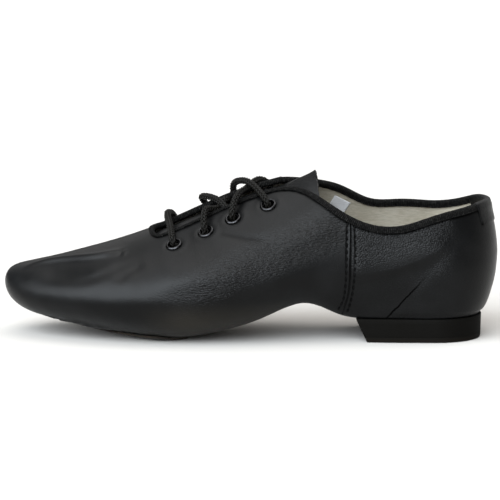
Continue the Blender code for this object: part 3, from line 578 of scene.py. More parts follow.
class Wire:
    """An output socket of a node tree. Arithmetic on wires adds Math nodes to the tree."""

    def __init__(self, tree, node, output=0):
        self.tree, self.node, self.socket = tree, node, node.outputs[output]

    @classmethod
    def of(cls, tree, kind, settings=None, sockets=None, output=0):
        """A node of any kind: its settings are set first, then the values or links of its sockets."""
        node = tree.nodes.new(kind)
        for name, value in (settings or {}).items():
            setattr(node, name, value)
        for key, value in (sockets or {}).items():
            if isinstance(value, Wire):
                tree.links.new(value.socket, node.inputs[key])
            else:
                node.inputs[key].default_value = value
        return cls(tree, node, output) if node.outputs else None

    def out(self, output):
        """Another output of the same node."""
        return Wire(self.tree, self.node, output)

    def math(self, operation, *others, swap=False):
        """A Math node of this wire and others, which come first in a swap."""
        terms = (*others, self) if swap else (self, *others)
        return Wire.of(self.tree, "ShaderNodeMath", {"operation": operation}, dict(enumerate(terms)))

    def __add__(self, other):
        return self.math("ADD", other)

    def __sub__(self, other):
        return self.math("SUBTRACT", other)

    def __rsub__(self, other):
        return self.math("SUBTRACT", other, swap=True)

    def __mul__(self, other):
        return self.math("MULTIPLY", other)

    def __truediv__(self, other):
        return self.math("DIVIDE", other)

    __radd__, __rmul__ = __add__, __mul__

    def ramp(self, low, high):
        """A soft step from 0 at low to 1 at high."""
        return Wire.of(self.tree, "ShaderNodeMapRange", {"interpolation_type": "SMOOTHSTEP"},
                       {"Value": self, "From Min": low, "From Max": high})

    def mix(self, first, second):
        """From one colour, at 0, to another, at 1."""
        return Wire.of(self.tree, "ShaderNodeMix", {"data_type": "RGBA"}, {0: self, 6: first, 7: second}, 2)


def place_of(tree):
    """Where a point is on the object."""
    return Wire.of(tree, "ShaderNodeTexCoord", output="Object")


def split(vector):
    """A vector's three numbers."""
    parts = Wire.of(vector.tree, "ShaderNodeSeparateXYZ", {}, {"Vector": vector})
    return (parts.out(axis) for axis in "XYZ")


def stretched(place, scale, turn=(0.0, 0.0, 0.0)):
    """Coordinates turned and scaled, so that a pattern is longer one way."""
    return Wire.of(place.tree, "ShaderNodeMapping", {}, {"Vector": place, "Scale": scale, "Rotation": turn})


def noise(place, scale, detail=2.0, roughness=0.5):
    """Soft noise about 0.5, at so many lumps a metre."""
    return Wire.of(place.tree, "ShaderNodeTexNoise", {},
                   {"Vector": place, "Scale": scale, "Detail": detail, "Roughness": roughness})


def pebbles(place, scale):
    """Rounded cells, at so many a metre."""
    return Wire.of(place.tree, "ShaderNodeTexVoronoi", {"feature": "SMOOTH_F1"}, {"Vector": place, "Scale": scale})


def surface_value(tree, name):
    """A value stored on the vertices."""
    return Wire.of(tree, "ShaderNodeAttribute", {"attribute_name": name}, output="Fac")


def new_material(name):
    """A material and its node tree."""
    material = bpy.data.materials.new(name)
    material.use_nodes = True
    return material, material.node_tree


def finish(tree, constants, colour=None, roughness=None, height=None, metallic=None):
    """Sets the shader's constants and feeds it what varies. The height is in millimetres and makes the bump."""
    shader = tree.nodes["Principled BSDF"]
    for name, value in constants.items():
        shader.inputs[name].default_value = value
    bump = height and Wire.of(tree, "ShaderNodeBump", {}, {"Strength": 1.0, "Distance": MM, "Height": height})
    for name, wire in (("Base Color", colour), ("Roughness", roughness), ("Normal", bump), ("Metallic", metallic)):
        if wire:
            tree.links.new(wire.socket, shader.inputs[name])


def shade(*rgb):
    """A solid colour."""
    return (*rgb, 1.0)


# Painted shade: the near-black colour put on creases, seams and the leather under the binding and the tab.
LEATHER_PAINTED_SHADE = shade(0.0012, 0.0012, 0.0012)
LEATHER_DARK, LEATHER_LIGHT = shade(0.0021, 0.0022, 0.0023), shade(0.0038, 0.0039, 0.0041)
# Painted light: the lighter, warmer colour low on the waist stands in for light bounced up from the floor.
LEATHER_BOUNCE = shade(0.0165, 0.0145, 0.0115)
LEATHER_CELLS, LEATHER_FINE_CELLS, LEATHER_PORES, LEATHER_LINES = 1500.0, 2700.0, 4200.0, 2000.0
BOUNCE_Z, BOUNCE_FRONT_X, BOUNCE_BACK_X = (25.0, 9.0), (-62.0, -30.0), (42.0, 20.0)


def leather_material(name):
    """Satin black leather: pebbled grain, pores, fine stretch lines, and a finish that is uneven in gloss. Low on the
    waist the colour is painted lighter and warmer, as light that the floor bounces up. The surface says how strong
    its
    grain is and where shade is painted: in creases, seams and under the binding and the tab. There the colour is
    near black and the leather is black metal, because that has no shine."""
    material, tree = new_material(name)
    place = place_of(tree)
    grain, warp, wear = surface_value(tree, "grain"), noise(place, 300.0), noise(place, 45.0, 4.0)
    x, _, z = (number / MM - float(shift) for number, shift in zip(split(place), LAST_ORIGIN))
    quarter = x.ramp(47.0, 54.0)

    # Shade is painted along the crease at the front of the counter. It wavers a little and fades out at its head.
    (foot_x, foot_z), (head_x, head_z) = COUNTER_CREASE
    run, rise = head_x - foot_x, head_z - foot_z
    length = math.hypot(run, rise)
    off = ((x - foot_x) * (rise / length) - (z - foot_z) * (run / length)) + (warp - 0.5) * 1.2
    along = (x - foot_x) * (run / length) + (z - foot_z) * (rise / length)
    crease_shade = off.math("ABSOLUTE").ramp(0.60, 0.15) * along.ramp(length, length - 14.0) * along.ramp(-2.0, 0.0)
    sunk = surface_value(tree, "sunk").math("MAXIMUM", crease_shade)

    # The quarter shows cells, and the waist shows lines drawn out along the shoe.
    cell, small = pebbles(place, LEATHER_CELLS), pebbles(place, LEATHER_FINE_CELLS)
    height = (0.5 - cell) * (grain * (0.05 + quarter * 0.36) + 0.025) + (0.5 - small) * (grain * 0.07 + 0.035)
    lines = noise(stretched(place, (0.24, 1.0, 1.0), (0.0, 0.10, 0.0)), LEATHER_LINES, 1.0)
    drawn = grain.ramp(0.16, 0.74) * (0.62 - quarter * 0.48) + 0.02
    height = height + (lines - 0.5) * drawn + (noise(place, LEATHER_PORES, 1.0) - 0.5) * 0.02

    wear_and_bounce = z.ramp(*BOUNCE_Z) * x.ramp(*BOUNCE_FRONT_X) * x.ramp(*BOUNCE_BACK_X) * (0.45 + wear)
    colour = wear_and_bounce.mix(wear.ramp(0.40, 0.75).mix(LEATHER_DARK, LEATHER_LIGHT), LEATHER_BOUNCE)
    roughness = 0.350 + (warp - 0.5) * 0.10 + (wear - 0.5) * 0.12 - grain * 0.09
    finish(tree, {"Specular IOR Level": 0.12}, sunk.mix(colour, LEATHER_PAINTED_SHADE), roughness, height, metallic=sunk)
    return material


def give_value(obj, name, value):
    """Stores value(points, in the last's millimetres) on an object's vertices."""
    points = np.empty(len(obj.data.vertices) * 3, np.float32)
    obj.data.vertices.foreach_get("co", points)
    store = obj.data.attributes.new(name, "FLOAT", "POINT")
    store.data.foreach_set("value", value(points.reshape(-1, 3) / MM - LAST_ORIGIN).astype(np.float32))


def grain_strength(points):
    """The grain is pulled smooth over the toe and the counter, and stands out on the waist and under the collar."""
    x, z = points[:, 0], points[:, 2]
    quarter = band(x, (50, 56), (87, 112)) * smooth((z - 36 - 0.30 * (x - 56)) / 9)
    # The waist's band of grain climbs towards the back, and over is the distance above its middle line.
    over = (z - 31.9 - 0.452 * (x + 13)) * 0.911
    waist = band(x, (-62, -10), (46, 56)) * band(over, (-16, 0), (2, 22))
    counter_edge = hump(x - 97 + 0.2 * (z - 45), 6) * hump(z - 46, 10)
    return np.clip(0.16 + 0.85 * quarter + 0.55 * waist + 0.45 * counter_edge, 0, 1)


def declare(piece, slot, *nodes):
    """Attaches a finished piece to the shoe's body, and hides the parts of the model that it stands for."""
    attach(piece, "root")
    if nodes:
        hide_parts(*nodes)


def paint_shade_along(obj, lines):
    """Marks painted shade on a piece along lines, where the leather is darkened and loses its shine. Each has its
    points, half width, darkness and fade at the head.
    """
    def near(points):
        dark = np.zeros(len(points))
        for line, width, darkness, head_fade in lines:
            dark = np.maximum(dark, trough(points, line, darkness, width, head_fade=head_fade))
        return dark

    give_value(obj, "sunk", near)


# Painted shade along the crease of the instep, and along the seam and its two stitch rows.
painted_shade_lines = [(side_line(LATERAL, INSTEP_CREASE), 1.3, 0.45, 0.4)]
painted_shade_lines += [(side_line(side, line, SEAM_STEPS), width, darkness, 0.0)
         for side in SIDES for _, width, darkness, line in SEAM_RELIEF if darkness]
leather = leather_material("black_leather")
give_value(upper, "grain", grain_strength)
upper.data.materials.append(leather)
declare(upper, "leather", "upper")


# The lining: pale cotton canvas, cut to the same pattern as the leather. It is cemented to the inside of the leather
# and sewn in under the binding, and it shows inside the collar.
CANVAS_PALE, CANVAS_SHADE = shade(0.315, 0.290, 0.236), shade(0.225, 0.203, 0.158)
CANVAS_THREAD = 0.55


def canvas_material(name, pale, soiled):
    """Plain woven canvas: warp and weft in turn over each other, with slubs and a little soiling."""
    material, tree = new_material(name)
    place = place_of(tree)
    x, y, z = split(place)
    wave = math.tau / (CANVAS_THREAD * MM)
    weave = (x * wave + y * (0.7 * wave)).math("SINE") * (z * wave).math("SINE")
    slub, soil = noise(stretched(place, (0.2, 0.2, 1.0)), 1500.0), noise(place, 60.0, 4.0)
    colour = (soil * 0.55 + slub * 0.65 + weave * 0.10).ramp(0.42, 0.80).mix(pale, soiled)
    finish(tree, {"Specular IOR Level": 0.2, "Sheen Weight": 0.15}, colour, 0.86 + (slub - 0.5) * 0.1,
           weave * 0.06 + (slub - 0.5) * 0.09)
    return material


lining = two_sided_shell("canvas_lining", lining_out, lining_in, open_edge, open_margin)
punch_eyelets(lining)
lining.data.materials.append(canvas_material("lining_canvas", CANVAS_PALE, CANVAS_SHADE))
declare(lining, "lining")


# The insole: a sock of the same canvas on thin board. It is laid on the upper's turned-in edge, from the toes to the
# heel, and closes the two openings under the foot.
GAP = 0.3
INSOLE_FRONT_X, INSOLE_END, INSOLE_THICK, INSOLE_REACH = -116.0, 14.0, 1.5, 0.94
SOCK_PALE, SOCK_SHADE = shade(0.37, 0.335, 0.265), shade(0.25, 0.22, 0.17)


def slab(name, low, high, open_rims=(True, True, True, True)):
    """A closed piece between two sheets of points, (columns, rows, xyz), with a rim along each open side."""
    columns, rows = low.shape[:2]
    count = columns * rows
    faces = [grid_faces(columns, rows), grid_faces(columns, rows, count)]
    number = np.arange(count).reshape(columns, rows)
    rims = (number[0], number[-1], number[:, 0], number[:, -1])
    for line, is_open in zip(rims, open_rims):
        if is_open:
            faces.append(np.stack((line[:-1], line[1:], line[1:] + count, line[:-1] + count), 1))
    return mesh_object(name, np.concatenate((low.reshape(-1, 3), high.reshape(-1, 3))), np.concatenate(faces))


def across(share):
    """Which side of the shoe a share of its width lies on, -1 to 1."""
    return np.where(share > 0, MEDIAL, LATERAL)


start = float(row_at(INSOLE_FRONT_X))
u = np.concatenate((start + 0.5 * np.linspace(0, 1, 14)[:-1] ** 2, np.linspace(start + 0.5, BACK_ROW, 150)))
u = u[:, None]
share = np.linspace(-1, 1, 31)[None, :]
swell = np.where(u < HEEL_ROW, round_end(SECTION["x"](u) - INSOLE_FRONT_X, INSOLE_END), 1.0)
reach = INSOLE_REACH * np.maximum(0.05, swell) * np.abs(share)
sheets = [last_point(u, across(share), reach) - depth * last_normal(u, across(share), reach)
          for depth in (WALL + GAP, WALL + GAP + INSOLE_THICK)]
insole = slab("insole_sock", *sheets, open_rims=(True, False, True, True))
insole.data.materials.append(canvas_material("insole_canvas", SOCK_PALE, SOCK_SHADE))
declare(insole, "lining", "insole")


# The forefoot sole: a thin pad of suede under the ball of the foot. Its edge is cut by hand and pared thin, it is
# cemented to the upper, and the floor has worn it flat and pale.
SOLE_X, SOLE_REACH, SOLE_THICK = (-97.0, -27.0), 1.28, 2.0
SOLE_EDGE, SOLE_SKIVE, SOLE_ROUND = 0.45, 9.0, 2.6
SOLE_NARROW, SOLE_NARROW_X = 0.11, (-58.0, -44.0)
SUEDE_DARK, SUEDE_WORN = shade(0.010, 0.0075, 0.0058), shade(0.038, 0.030, 0.022)
middle, length = sum(SOLE_X) / 2, (SOLE_X[1] - SOLE_X[0]) / 2
x = middle + (length - 0.2) * np.sin(np.linspace(-1, 1, 121) * np.pi / 2)[:, None]
share = np.sin(np.linspace(-1, 1, 61) * np.pi / 2)[None, :]
cut = SOLE_REACH * (1 - np.abs((x - middle) / length) ** SOLE_ROUND) ** (1 / SOLE_ROUND)
cut = cut * (1 - SOLE_NARROW * smooth((SOLE_NARROW_X[1] - x) / (SOLE_NARROW_X[1] - SOLE_NARROW_X[0])))
cut = cut * (1 + 0.006 * np.sin(x * 1.7) + 0.004 * np.sin(x * 3.9 + 1.0))
u, side, q = np.broadcast_arrays(row_at(x), across(share), cut * np.abs(share))
top = last_point(u, side, q)
rim = np.concatenate((top[:, 0], top[::-1, -1], top[:1, 0]))
inside = near_line(top.reshape(-1, 3), rim, 200.0)[0].reshape(q.shape)
thick = SOLE_THICK * (SOLE_EDGE + (1 - SOLE_EDGE) * np.minimum(1, inside / SOLE_SKIVE))
normal = last_normal(u, side, q)
face = top + (GAP + thick)[..., None] * normal
face[..., 2] = np.maximum(face[..., 2], 0)
forefoot_sole = slab("forefoot_suede", top + GAP * normal, face)
material, tree = new_material("sole_suede")
place = place_of(tree)
nap, scuff = noise(place, 1600.0, 3.0), noise(stretched(place, (0.4, 1.0, 1.0)), 90.0, 4.0)
colour = (scuff * 0.7 + nap * 0.4).ramp(0.42, 0.72).mix(SUEDE_DARK, SUEDE_WORN)
finish(tree, {"Specular IOR Level": 0.08, "Sheen Weight": 0.06}, colour, 0.95 - nap * 0.1, (nap - 0.5) * 0.16)
forefoot_sole.data.materials.append(material)
declare(forefoot_sole, "suede", "forefoot_sole")


# The heel: a low block of moulded rubber, cemented under the seat. Its top piece, which meets the floor, has ribs
# across it, and a fine groove shows where block and top piece join.
HEEL_TOP, HEEL_REACH, HEEL_TAPER = 12.1, 1.18, 0.99
HEEL_BREAST_TOP_X, HEEL_BREAST_BOTTOM_X = 54.2, 59.6
HEEL_CENTRE, HEEL_HALF = np.array((88.0, 0.0)), 30.0
RIB_PITCH, RIB_DEEP, RIB_STEPS = 1.35, 0.42, 6
TOP_PIECE = 2.7
RUBBER, RUBBER_WORN = shade(0.0020, 0.0018, 0.0014), shade(0.0058, 0.0045, 0.0033)
HEEL_LEVELS = (
    # height, inset of the wall
    (HEEL_TOP, 0.55), (11.95, 0.2), (11.6, 0.0), (9.5, 0.0), (7.0, 0.0), (4.5, 0.0), (3.0, 0.0), (2.8, 0.02),
    (TOP_PIECE, 0.10), (2.6, 0.02), (2.45, 0.0), (1.5, 0.0), (0.8, 0.0), (0.0, 0.12),
)
breast = float(row_at(HEEL_BREAST_TOP_X))
u = np.concatenate((np.linspace(breast, HEEL_ROW, 600), np.linspace(HEEL_ROW, BACK_ROW, 400)[1:]))
outline = last_point(u, LATERAL, HEEL_REACH)
steps = arc_length(outline)
places = np.union1d(np.interp(np.arange(outline[0, 0], outline[-1, 0], RIB_PITCH / RIB_STEPS), outline[:, 0], u),
                    np.interp(np.linspace(0, steps[-1], 90), steps, u))
ends = [last_point(places, side, HEEL_REACH)[:, :2] for side in SIDES]
share = np.linspace(0, 1, 13)[None, :, None]
plan = ends[0][:, None] * (1 - share) + ends[1][:, None] * share


def heel_layer(height, inset):
    """The heel's outline and the ground inside it at one height."""
    down = 1 - height / HEEL_TOP
    forward = np.clip((HEEL_AXIS_X - plan[..., 0]) / (HEEL_AXIS_X - HEEL_BREAST_TOP_X), 0, 1)
    foot_x = HEEL_AXIS_X + (plan[..., 0] - HEEL_AXIS_X) * HEEL_TAPER
    foot_x = foot_x + (HEEL_BREAST_BOTTOM_X - HEEL_BREAST_TOP_X) * forward
    foot = np.stack((foot_x, plan[..., 1] * HEEL_TAPER), -1)
    flat = plan + (foot - plan) * down
    flat = HEEL_CENTRE + (flat - HEEL_CENTRE) * (1 - inset / HEEL_HALF)
    z = np.full(flat.shape[:2], height)
    if height == 0:
        z = RIB_DEEP * smooth(np.abs((flat[..., 0] / RIB_PITCH) % 1 - 0.5) * 5 - 0.9)
    return np.concatenate((flat, z[..., None]), -1)


layers = np.stack([heel_layer(*level) for level in HEEL_LEVELS])
walls = [layers[0], layers[-1], layers[:, :, 0], layers[:, :, -1], layers[:, 0]]
points, faces, first = [], [], 0
for wall in walls:
    points.append(wall.reshape(-1, 3))
    faces.append(grid_faces(*wall.shape[:2], first))
    first += len(points[-1])
heel = mesh_object("heel_block", np.concatenate(points), np.concatenate(faces))
heel.data.set_sharp_from_angle(angle=math.radians(40))
material, tree = new_material("heel_rubber")
place = place_of(tree)
*_, height = split(place)
dust, speck = noise(place, 140.0, 5.0, 0.6), noise(place, 2600.0)
wear_and_bounce = (height / MM).ramp(3.2, 0.4) * (0.55 + dust * 0.6)
colour = (wear_and_bounce + (dust - 0.5) * 0.25).math("MAXIMUM", 0.0).mix(RUBBER, RUBBER_WORN)
finish(tree, {"Specular IOR Level": 0.055}, colour, 0.74 + (dust - 0.5) * 0.25,
       (speck - 0.5) * 0.05 + (dust - 0.5) * 0.05)
heel.data.materials.append(material)
declare(heel, "rubber", "heel")


# The tongue: one thickness of the same leather, sewn in at the front of the throat, with a raw cut end that
# stands up out of the collar.
TONGUE_X, TONGUE_HALF, TONGUE_SKEW = (-57.0, 32.2), 21.0, 3.0
TONGUE_LIFT_X, TONGUE_LIFT, TONGUE_DEEP, TONGUE_THICK = 13.0, 4.8, 2.0, 1.3
TONGUE_DENT_X, TONGUE_DENT = -15.0, 1.6
NICK_SHARE, NICK_WIDE, NICK_DEEP = -0.27, 0.035, 0.9


def even_grain(points):
    """The same grain all over, for the small pieces."""
    return np.full(len(points), 0.35)


share = np.linspace(-1, 1, 81)[None, :]
along = np.concatenate((np.linspace(0, 0.96, 110), np.linspace(0.96, 1, 9)[1:]))[:, None]
ragged = 0.12 * np.sin(23 * share) + 0.10 * np.sin(51 * share + 1) - NICK_DEEP * hump(share - NICK_SHARE, NICK_WIDE)
x = TONGUE_X[0] + (TONGUE_X[1] - TONGUE_X[0]) * along + ragged * smooth((along - 0.9) / 0.1)
back = np.clip((x - 10) / (TONGUE_X[1] - 10), 0, 1)
u = row_at(x + TONGUE_SKEW * np.abs(share) * back)
side = np.broadcast_to(across(share), u.shape)
q = np.minimum(2.99, q_from_top(u, side, TONGUE_HALF * np.abs(share)))
lift = TONGUE_LIFT * np.clip((x - TONGUE_LIFT_X) / (TONGUE_X[1] - TONGUE_LIFT_X), 0, 1.2) ** 2
wave = 0.5 * np.sin(0.33 * x + 3 * share) * smooth((x - 4) / 10)
rise = (lift + wave) * (1 - np.abs(share)) - TONGUE_DENT * hump(x - TONGUE_DENT_X, 8) * hump(share, 0.45)
base = last_point(u, side, q) + np.stack((0 * rise, 0 * rise, rise), -1)
sheets = [base - depth * last_normal(u, side, q) for depth in (WALL + TONGUE_DEEP, WALL + TONGUE_DEEP + TONGUE_THICK)]
tongue = slab("tongue_flap", *sheets)
tongue.data.set_sharp_from_angle(angle=math.radians(50))
give_value(tongue, "grain", even_grain)
tongue.data.materials.append(leather)
declare(tongue, "leather", "tongue")


# The binding: one ribbed ribbon of black thread, folded over the edge of collar and throat. It is sewn through close
# to its lower border, and the back tab presses it thin. Shadow is painted on the leather under its lower border.
BINDING_DEEP_COLLAR, BINDING_DEEP_THROAT, RIBBON = 2.6, 1.6, 0.8
BINDING_SEWN, BINDING_DIP, BINDING_DIP_WIDE = 0.95, 0.26, 0.45
TAB_FIRST_ROW = HEEL_ROW + 48.0 / HEEL_DEGREES
BORDER_SHADOW, BORDER_OFF = 0.6, 0.25
RIBBON_DARK, RIBBON_LIGHT = shade(0.0004, 0.0004, 0.0004), shade(0.0260, 0.0250, 0.0235)
RIBBON_RIB, RIBBON_WARP, RIBBON_ROUND = 0.95, 0.80, 12.0


def edge_frames(u, side):
    """For places along the upper's edge: u, side, q, the direction into the leather, and how u and q change on the
    way in."""
    q, ahead = np.zeros(len(u)), np.zeros((len(u), 3))
    front = float(row_at(THROAT_FRONT_X))
    before, after = np.maximum(u - 0.003, front), np.minimum(u + 0.003, BACK_ROW)
    for way in SIDES:
        here = side == way
        q[here] = np.minimum(edge_q(u[here], way), 2.99)
        ends = [last_point(end[here], way, edge_q(end[here], way)) for end in (before, after)]
        ahead[here] = unit(ends[1] - ends[0]) * -way
    normal = last_normal(u, side, q)
    into = np.cross(ahead, normal)
    slopes = np.stack(last_tangents(u, side, q), -1)
    change = (np.linalg.pinv(slopes) @ into[..., None])[..., 0]
    return u, side, q, into, change


def off_edge(frames, reach, lift):
    """Points reach millimetres into the leather from its edge, or beyond it, and lift off its outer face."""
    u, side, q, into, change = (array[:, None] for array in frames)
    inside = np.maximum(reach, 0)
    places = skin(u + change[..., 0] * inside, side, np.minimum(2.999, q + change[..., 1] * inside), lift)
    return places + np.minimum(reach, 0)[..., None] * into


def binding_depth(u):
    """How far the ribbon reaches down from the edge."""
    return BINDING_DEEP_THROAT + (BINDING_DEEP_COLLAR - BINDING_DEEP_THROAT) * np.clip((u - COLLAR_ROW) / 2, 0, 1)


def edge_ring():
    """u and side along the whole edge: from the throat's front by the outer side to the back, and home."""
    line = RIB_EDGE[VAMP_RIBS:]
    return np.concatenate((line, line[-2:0:-1])), np.repeat(SIDES, (len(line), len(line) - 2))


def ribbon_fold(depth, ribbon):
    """The ribbon's section: reach and lift, down the outside, over the edge and down the inside, then back."""
    turn = np.radians(np.linspace(12, 168, 9))
    leg = np.array((1.0, 1.0, 0.97, 0.9, 0.75, 0.6, 0.45, 0.3, 0.15, 0.0))
    body = np.array((0.1, 0.5, 0.86, 1.0, 1.0, 1.0, 1.0, 1.0, 1.0, 1.0)) * ribbon
    back = (0.4 * depth, -0.25, -0.25, 0.4 * depth)
    reach = np.concatenate((leg * depth, -1.2 * np.sin(turn), leg[::-1] * depth, back))
    lift = np.concatenate((body, -WALL / 2 + (WALL / 2 + ribbon) * np.cos(turn), -WALL - body[::-1],
                           (-WALL - 0.05, -WALL, 0.0, 0.05)))
    return reach, lift


def grid_uv(columns, rows):
    """Texture coordinates of a grid's faces from its column and row places."""
    i, j = np.meshgrid(np.arange(len(columns) - 1), np.arange(len(rows) - 1), indexing="ij")
    i, j = i.ravel(), j.ravel()
    corners = ((i, j), (i + 1, j), (i + 1, j + 1), (i, j + 1))
    return np.stack([np.stack((columns[a], rows[b]), 1) for a, b in corners], 1)


ring_u, ring_side = edge_ring()
ring = edge_frames(ring_u, ring_side)
deep = binding_depth(ring_u)
pressed = RIBBON * (1 - 0.65 * smooth((ring_u - TAB_FIRST_ROW) / 0.25 + 0.5))
sections = [ribbon_fold(*pair) for pair in zip(deep, pressed)]
reach, lift = (np.stack(column) for column in zip(*sections))
dip = BINDING_DIP * hump(reach - (deep - BINDING_SEWN)[:, None], BINDING_DIP_WIDE)
bow = 0.10 * np.sin(ring_u * 29)[:, None] * smooth(reach / deep[:, None])
outside = np.abs(lift + WALL / 2) > WALL / 2 + 0.3
lift = lift + np.where(lift > 0, 1, -1) * np.where(outside, bow - dip, 0)
points = off_edge(ring, reach, lift)
# The weave is measured along one line of the ribbon and round one of its sections.
run = arc_length(np.concatenate((points, points[:1]))[:, 8])
rise = np.concatenate((arc_length(np.stack((reach[200], lift[200]), 1)), (RIBBON_ROUND,)))
binding = mesh_object("binding_ribbon", points.reshape(-1, 3), grid_faces(*reach.shape, 0, True, True),
                      uv=grid_uv(run, rise))
material, tree = new_material("binding_ribbon")
x, y, _ = split(Wire.of(tree, "ShaderNodeUVMap", {"uv_map": "weave"}))
fuzz = noise(place_of(tree), 1000.0, 3.0, 0.7)
ribs = (x * (math.tau / RIBBON_RIB) + (fuzz - 0.5) * 3.0).math("SINE")
weave = ribs * 0.6 + ribs * (y * (math.tau / RIBBON_WARP)).math("SINE") * 0.4
colour = (weave * 0.22 + fuzz).ramp(0.48, 0.88).mix(RIBBON_DARK, RIBBON_LIGHT)
finish(tree, {"Specular IOR Level": 0.07}, colour, 0.62 + fuzz * 0.1, weave * 0.30 + (fuzz - 0.5) * 0.40)
binding.data.materials.append(material)
declare(binding, "tape", "collar_binding")
# Painted shadow on the leather along the binding's lower border.
painted_shade_lines.append((off_edge(ring, (deep + BORDER_OFF)[:, None], 0.0)[:, 0], BORDER_SHADOW, 1.0, 0.0))


# The back tab: a strip of the upper's leather, pared at its edges. It is folded over the binding at the centre of the
# back, sewn down on both faces, and covers the ends of the ribbon and of the back seam.
TAB_OUTSIDE, TAB_INSIDE, TAB_THICK, TAB_SHADOW = 10.2, 6.0, 0.5, 0.95
TAB_LOW, TAB_HIGH = 0.05, 0.50
TAB_CREST, TAB_WITHIN = -GAP - TAB_HIGH, -WALL - TAB_HIGH
TAB_FOLD = (
    # reach down from the edge, height over the leather
    (TAB_OUTSIDE, TAB_LOW), (8.9, TAB_LOW), (7.2, TAB_LOW), (5.0, TAB_LOW + 0.1),
    (BINDING_DEEP_COLLAR + 0.3, TAB_HIGH * 0.95), (2.0, TAB_HIGH), (0.4, TAB_HIGH),
    (TAB_CREST + 0.5, TAB_HIGH * 0.55), (TAB_CREST, -WALL / 2), (TAB_CREST + 0.5, TAB_WITHIN + TAB_HIGH * 0.45),
    (0.4, TAB_WITHIN), (2.5, TAB_WITHIN), (TAB_INSIDE, TAB_WITHIN),
)
half = TAB_FIRST_ROW + (BACK_ROW - TAB_FIRST_ROW) * np.linspace(0, 1, 40)[:-1] ** 1.3
tab_u = np.concatenate((half, (BACK_ROW,), half[::-1]))
tab_side = np.repeat(SIDES, (len(half) + 1, len(half)))
steps = np.linspace(0, len(TAB_FOLD) - 1, 90)
reach, lift = (np.broadcast_to(spline(column)(steps), (len(tab_u), len(steps))) for column in zip(*TAB_FOLD))
frames = edge_frames(tab_u, tab_side)
under = off_edge(frames, reach, lift)
width = arc_length(under[:, 30])
border = np.minimum(width, width[-1] - width)[:, None]
thick = TAB_THICK * (0.30 + 0.70 * round_end(border, 1.0))
normal = unit(np.cross(np.gradient(under, axis=1), np.gradient(under, axis=0)))
flip = np.sign(((under - under.mean((0, 1))) * normal).sum())
back_tab = slab("back_strap", under, under + thick[..., None] * normal * flip)
back_tab.data.set_sharp_from_angle(angle=math.radians(50))
give_value(back_tab, "grain", even_grain)
# Painted shadow along the tab's lower rim, and on the leather just under it.
paint_shade_along(back_tab, [(under[:, 0], TAB_SHADOW, 1.0, 0.0)])
border = np.full((len(tab_u), 1), TAB_OUTSIDE + BORDER_OFF)
painted_shade_lines.append((off_edge(frames, border, 0.0)[:, 0], BORDER_SHADOW, 1.0, 0.0))
paint_shade_along(upper, painted_shade_lines)
back_tab.data.materials.append(leather)
declare(back_tab, "leather", "back_tab")


# The eyelets: rings of blacked steel, four on each side of the throat. Each is turned to one profile, set through
# leather and lining, and presses the leather down round it.
EYELET_SEAT, EYELET_SIDES = -0.13, 36
STEEL_DARK, STEEL_RUBBED = shade(0.022, 0.022, 0.023), shade(0.038, 0.038, 0.040)
EYELET_PROFILE = (
    # radius, height over the leather
    (2.35, -1.7), (2.35, -0.10), (2.48, 0.25), (2.80, 0.60), (3.15, 0.88), (3.5, 0.98), (3.85, 0.88), (4.2, 0.50),
    (4.4, 0.12), (4.25, 0.0), (2.68, 0.0), (2.65, -1.7),
)


def grow(name, inputs):
    """A geometry tree with named inputs. Returns it, its inputs as wires, and the inputs' identifiers."""
    tree = bpy.data.node_groups.new(name, "GeometryNodeTree")
    tree.interface.new_socket("Geometry", in_out="INPUT", socket_type="NodeSocketGeometry")
    names = {label: tree.interface.new_socket(label, in_out="INPUT", socket_type="NodeSocket" + kind).identifier
             for label, kind in inputs.items()}
    tree.interface.new_socket("Geometry", in_out="OUTPUT", socket_type="NodeSocketGeometry")
    start = Wire.of(tree, "NodeGroupInput", output="Geometry")
    return tree, {label: start.out(label) for label in ("Geometry", *inputs)}, names


def end_tree(shape, material):
    """Ends a geometry tree: plain mesh, smooth, in its material."""
    tree = shape.tree
    shape = Wire.of(tree, "GeometryNodeRealizeInstances", {}, {0: shape})
    shape = Wire.of(tree, "GeometryNodeSetShadeSmooth", {}, {0: shape})
    shape = Wire.of(tree, "GeometryNodeSetMaterial", {}, {"Geometry": shape, "Material": material})
    Wire.of(tree, "NodeGroupOutput", {}, {0: shape})


def line_object(name, lines, ups=None, closed=False):
    """Lines of points as bare edges, each point with the direction that is up there."""
    points, edges, first = [], [], 0
    for line in lines:
        points += ((line + LAST_ORIGIN) * MM).tolist()
        edges += [(first + i, first + i + 1) for i in range(len(line) - 1)]
        edges += [(first + len(line) - 1, first)] if closed else []
        first += len(line)
    mesh = bpy.data.meshes.new(name)
    mesh.from_pydata(points, edges, [])
    if ups is not None:
        store = mesh.attributes.new("up", "FLOAT_VECTOR", "POINT")
        store.data.foreach_set("vector", np.concatenate(ups).astype(np.float32).ravel())
    return place_in_scene(name, mesh)


def run_tree(obj, tree, names, values):
    """Runs a geometry tree on an object and keeps the result as its plain mesh."""
    modifier = obj.modifiers.new(tree.name, "NODES")
    modifier.node_group = tree
    for label, value in values.items():
        modifier[names[label]] = value
    make_plain(obj)


def up_here(tree):
    """The direction stored with a line's points."""
    return Wire.of(tree, "GeometryNodeInputNamedAttribute", {"data_type": "FLOAT_VECTOR"}, {"Name": "up"})


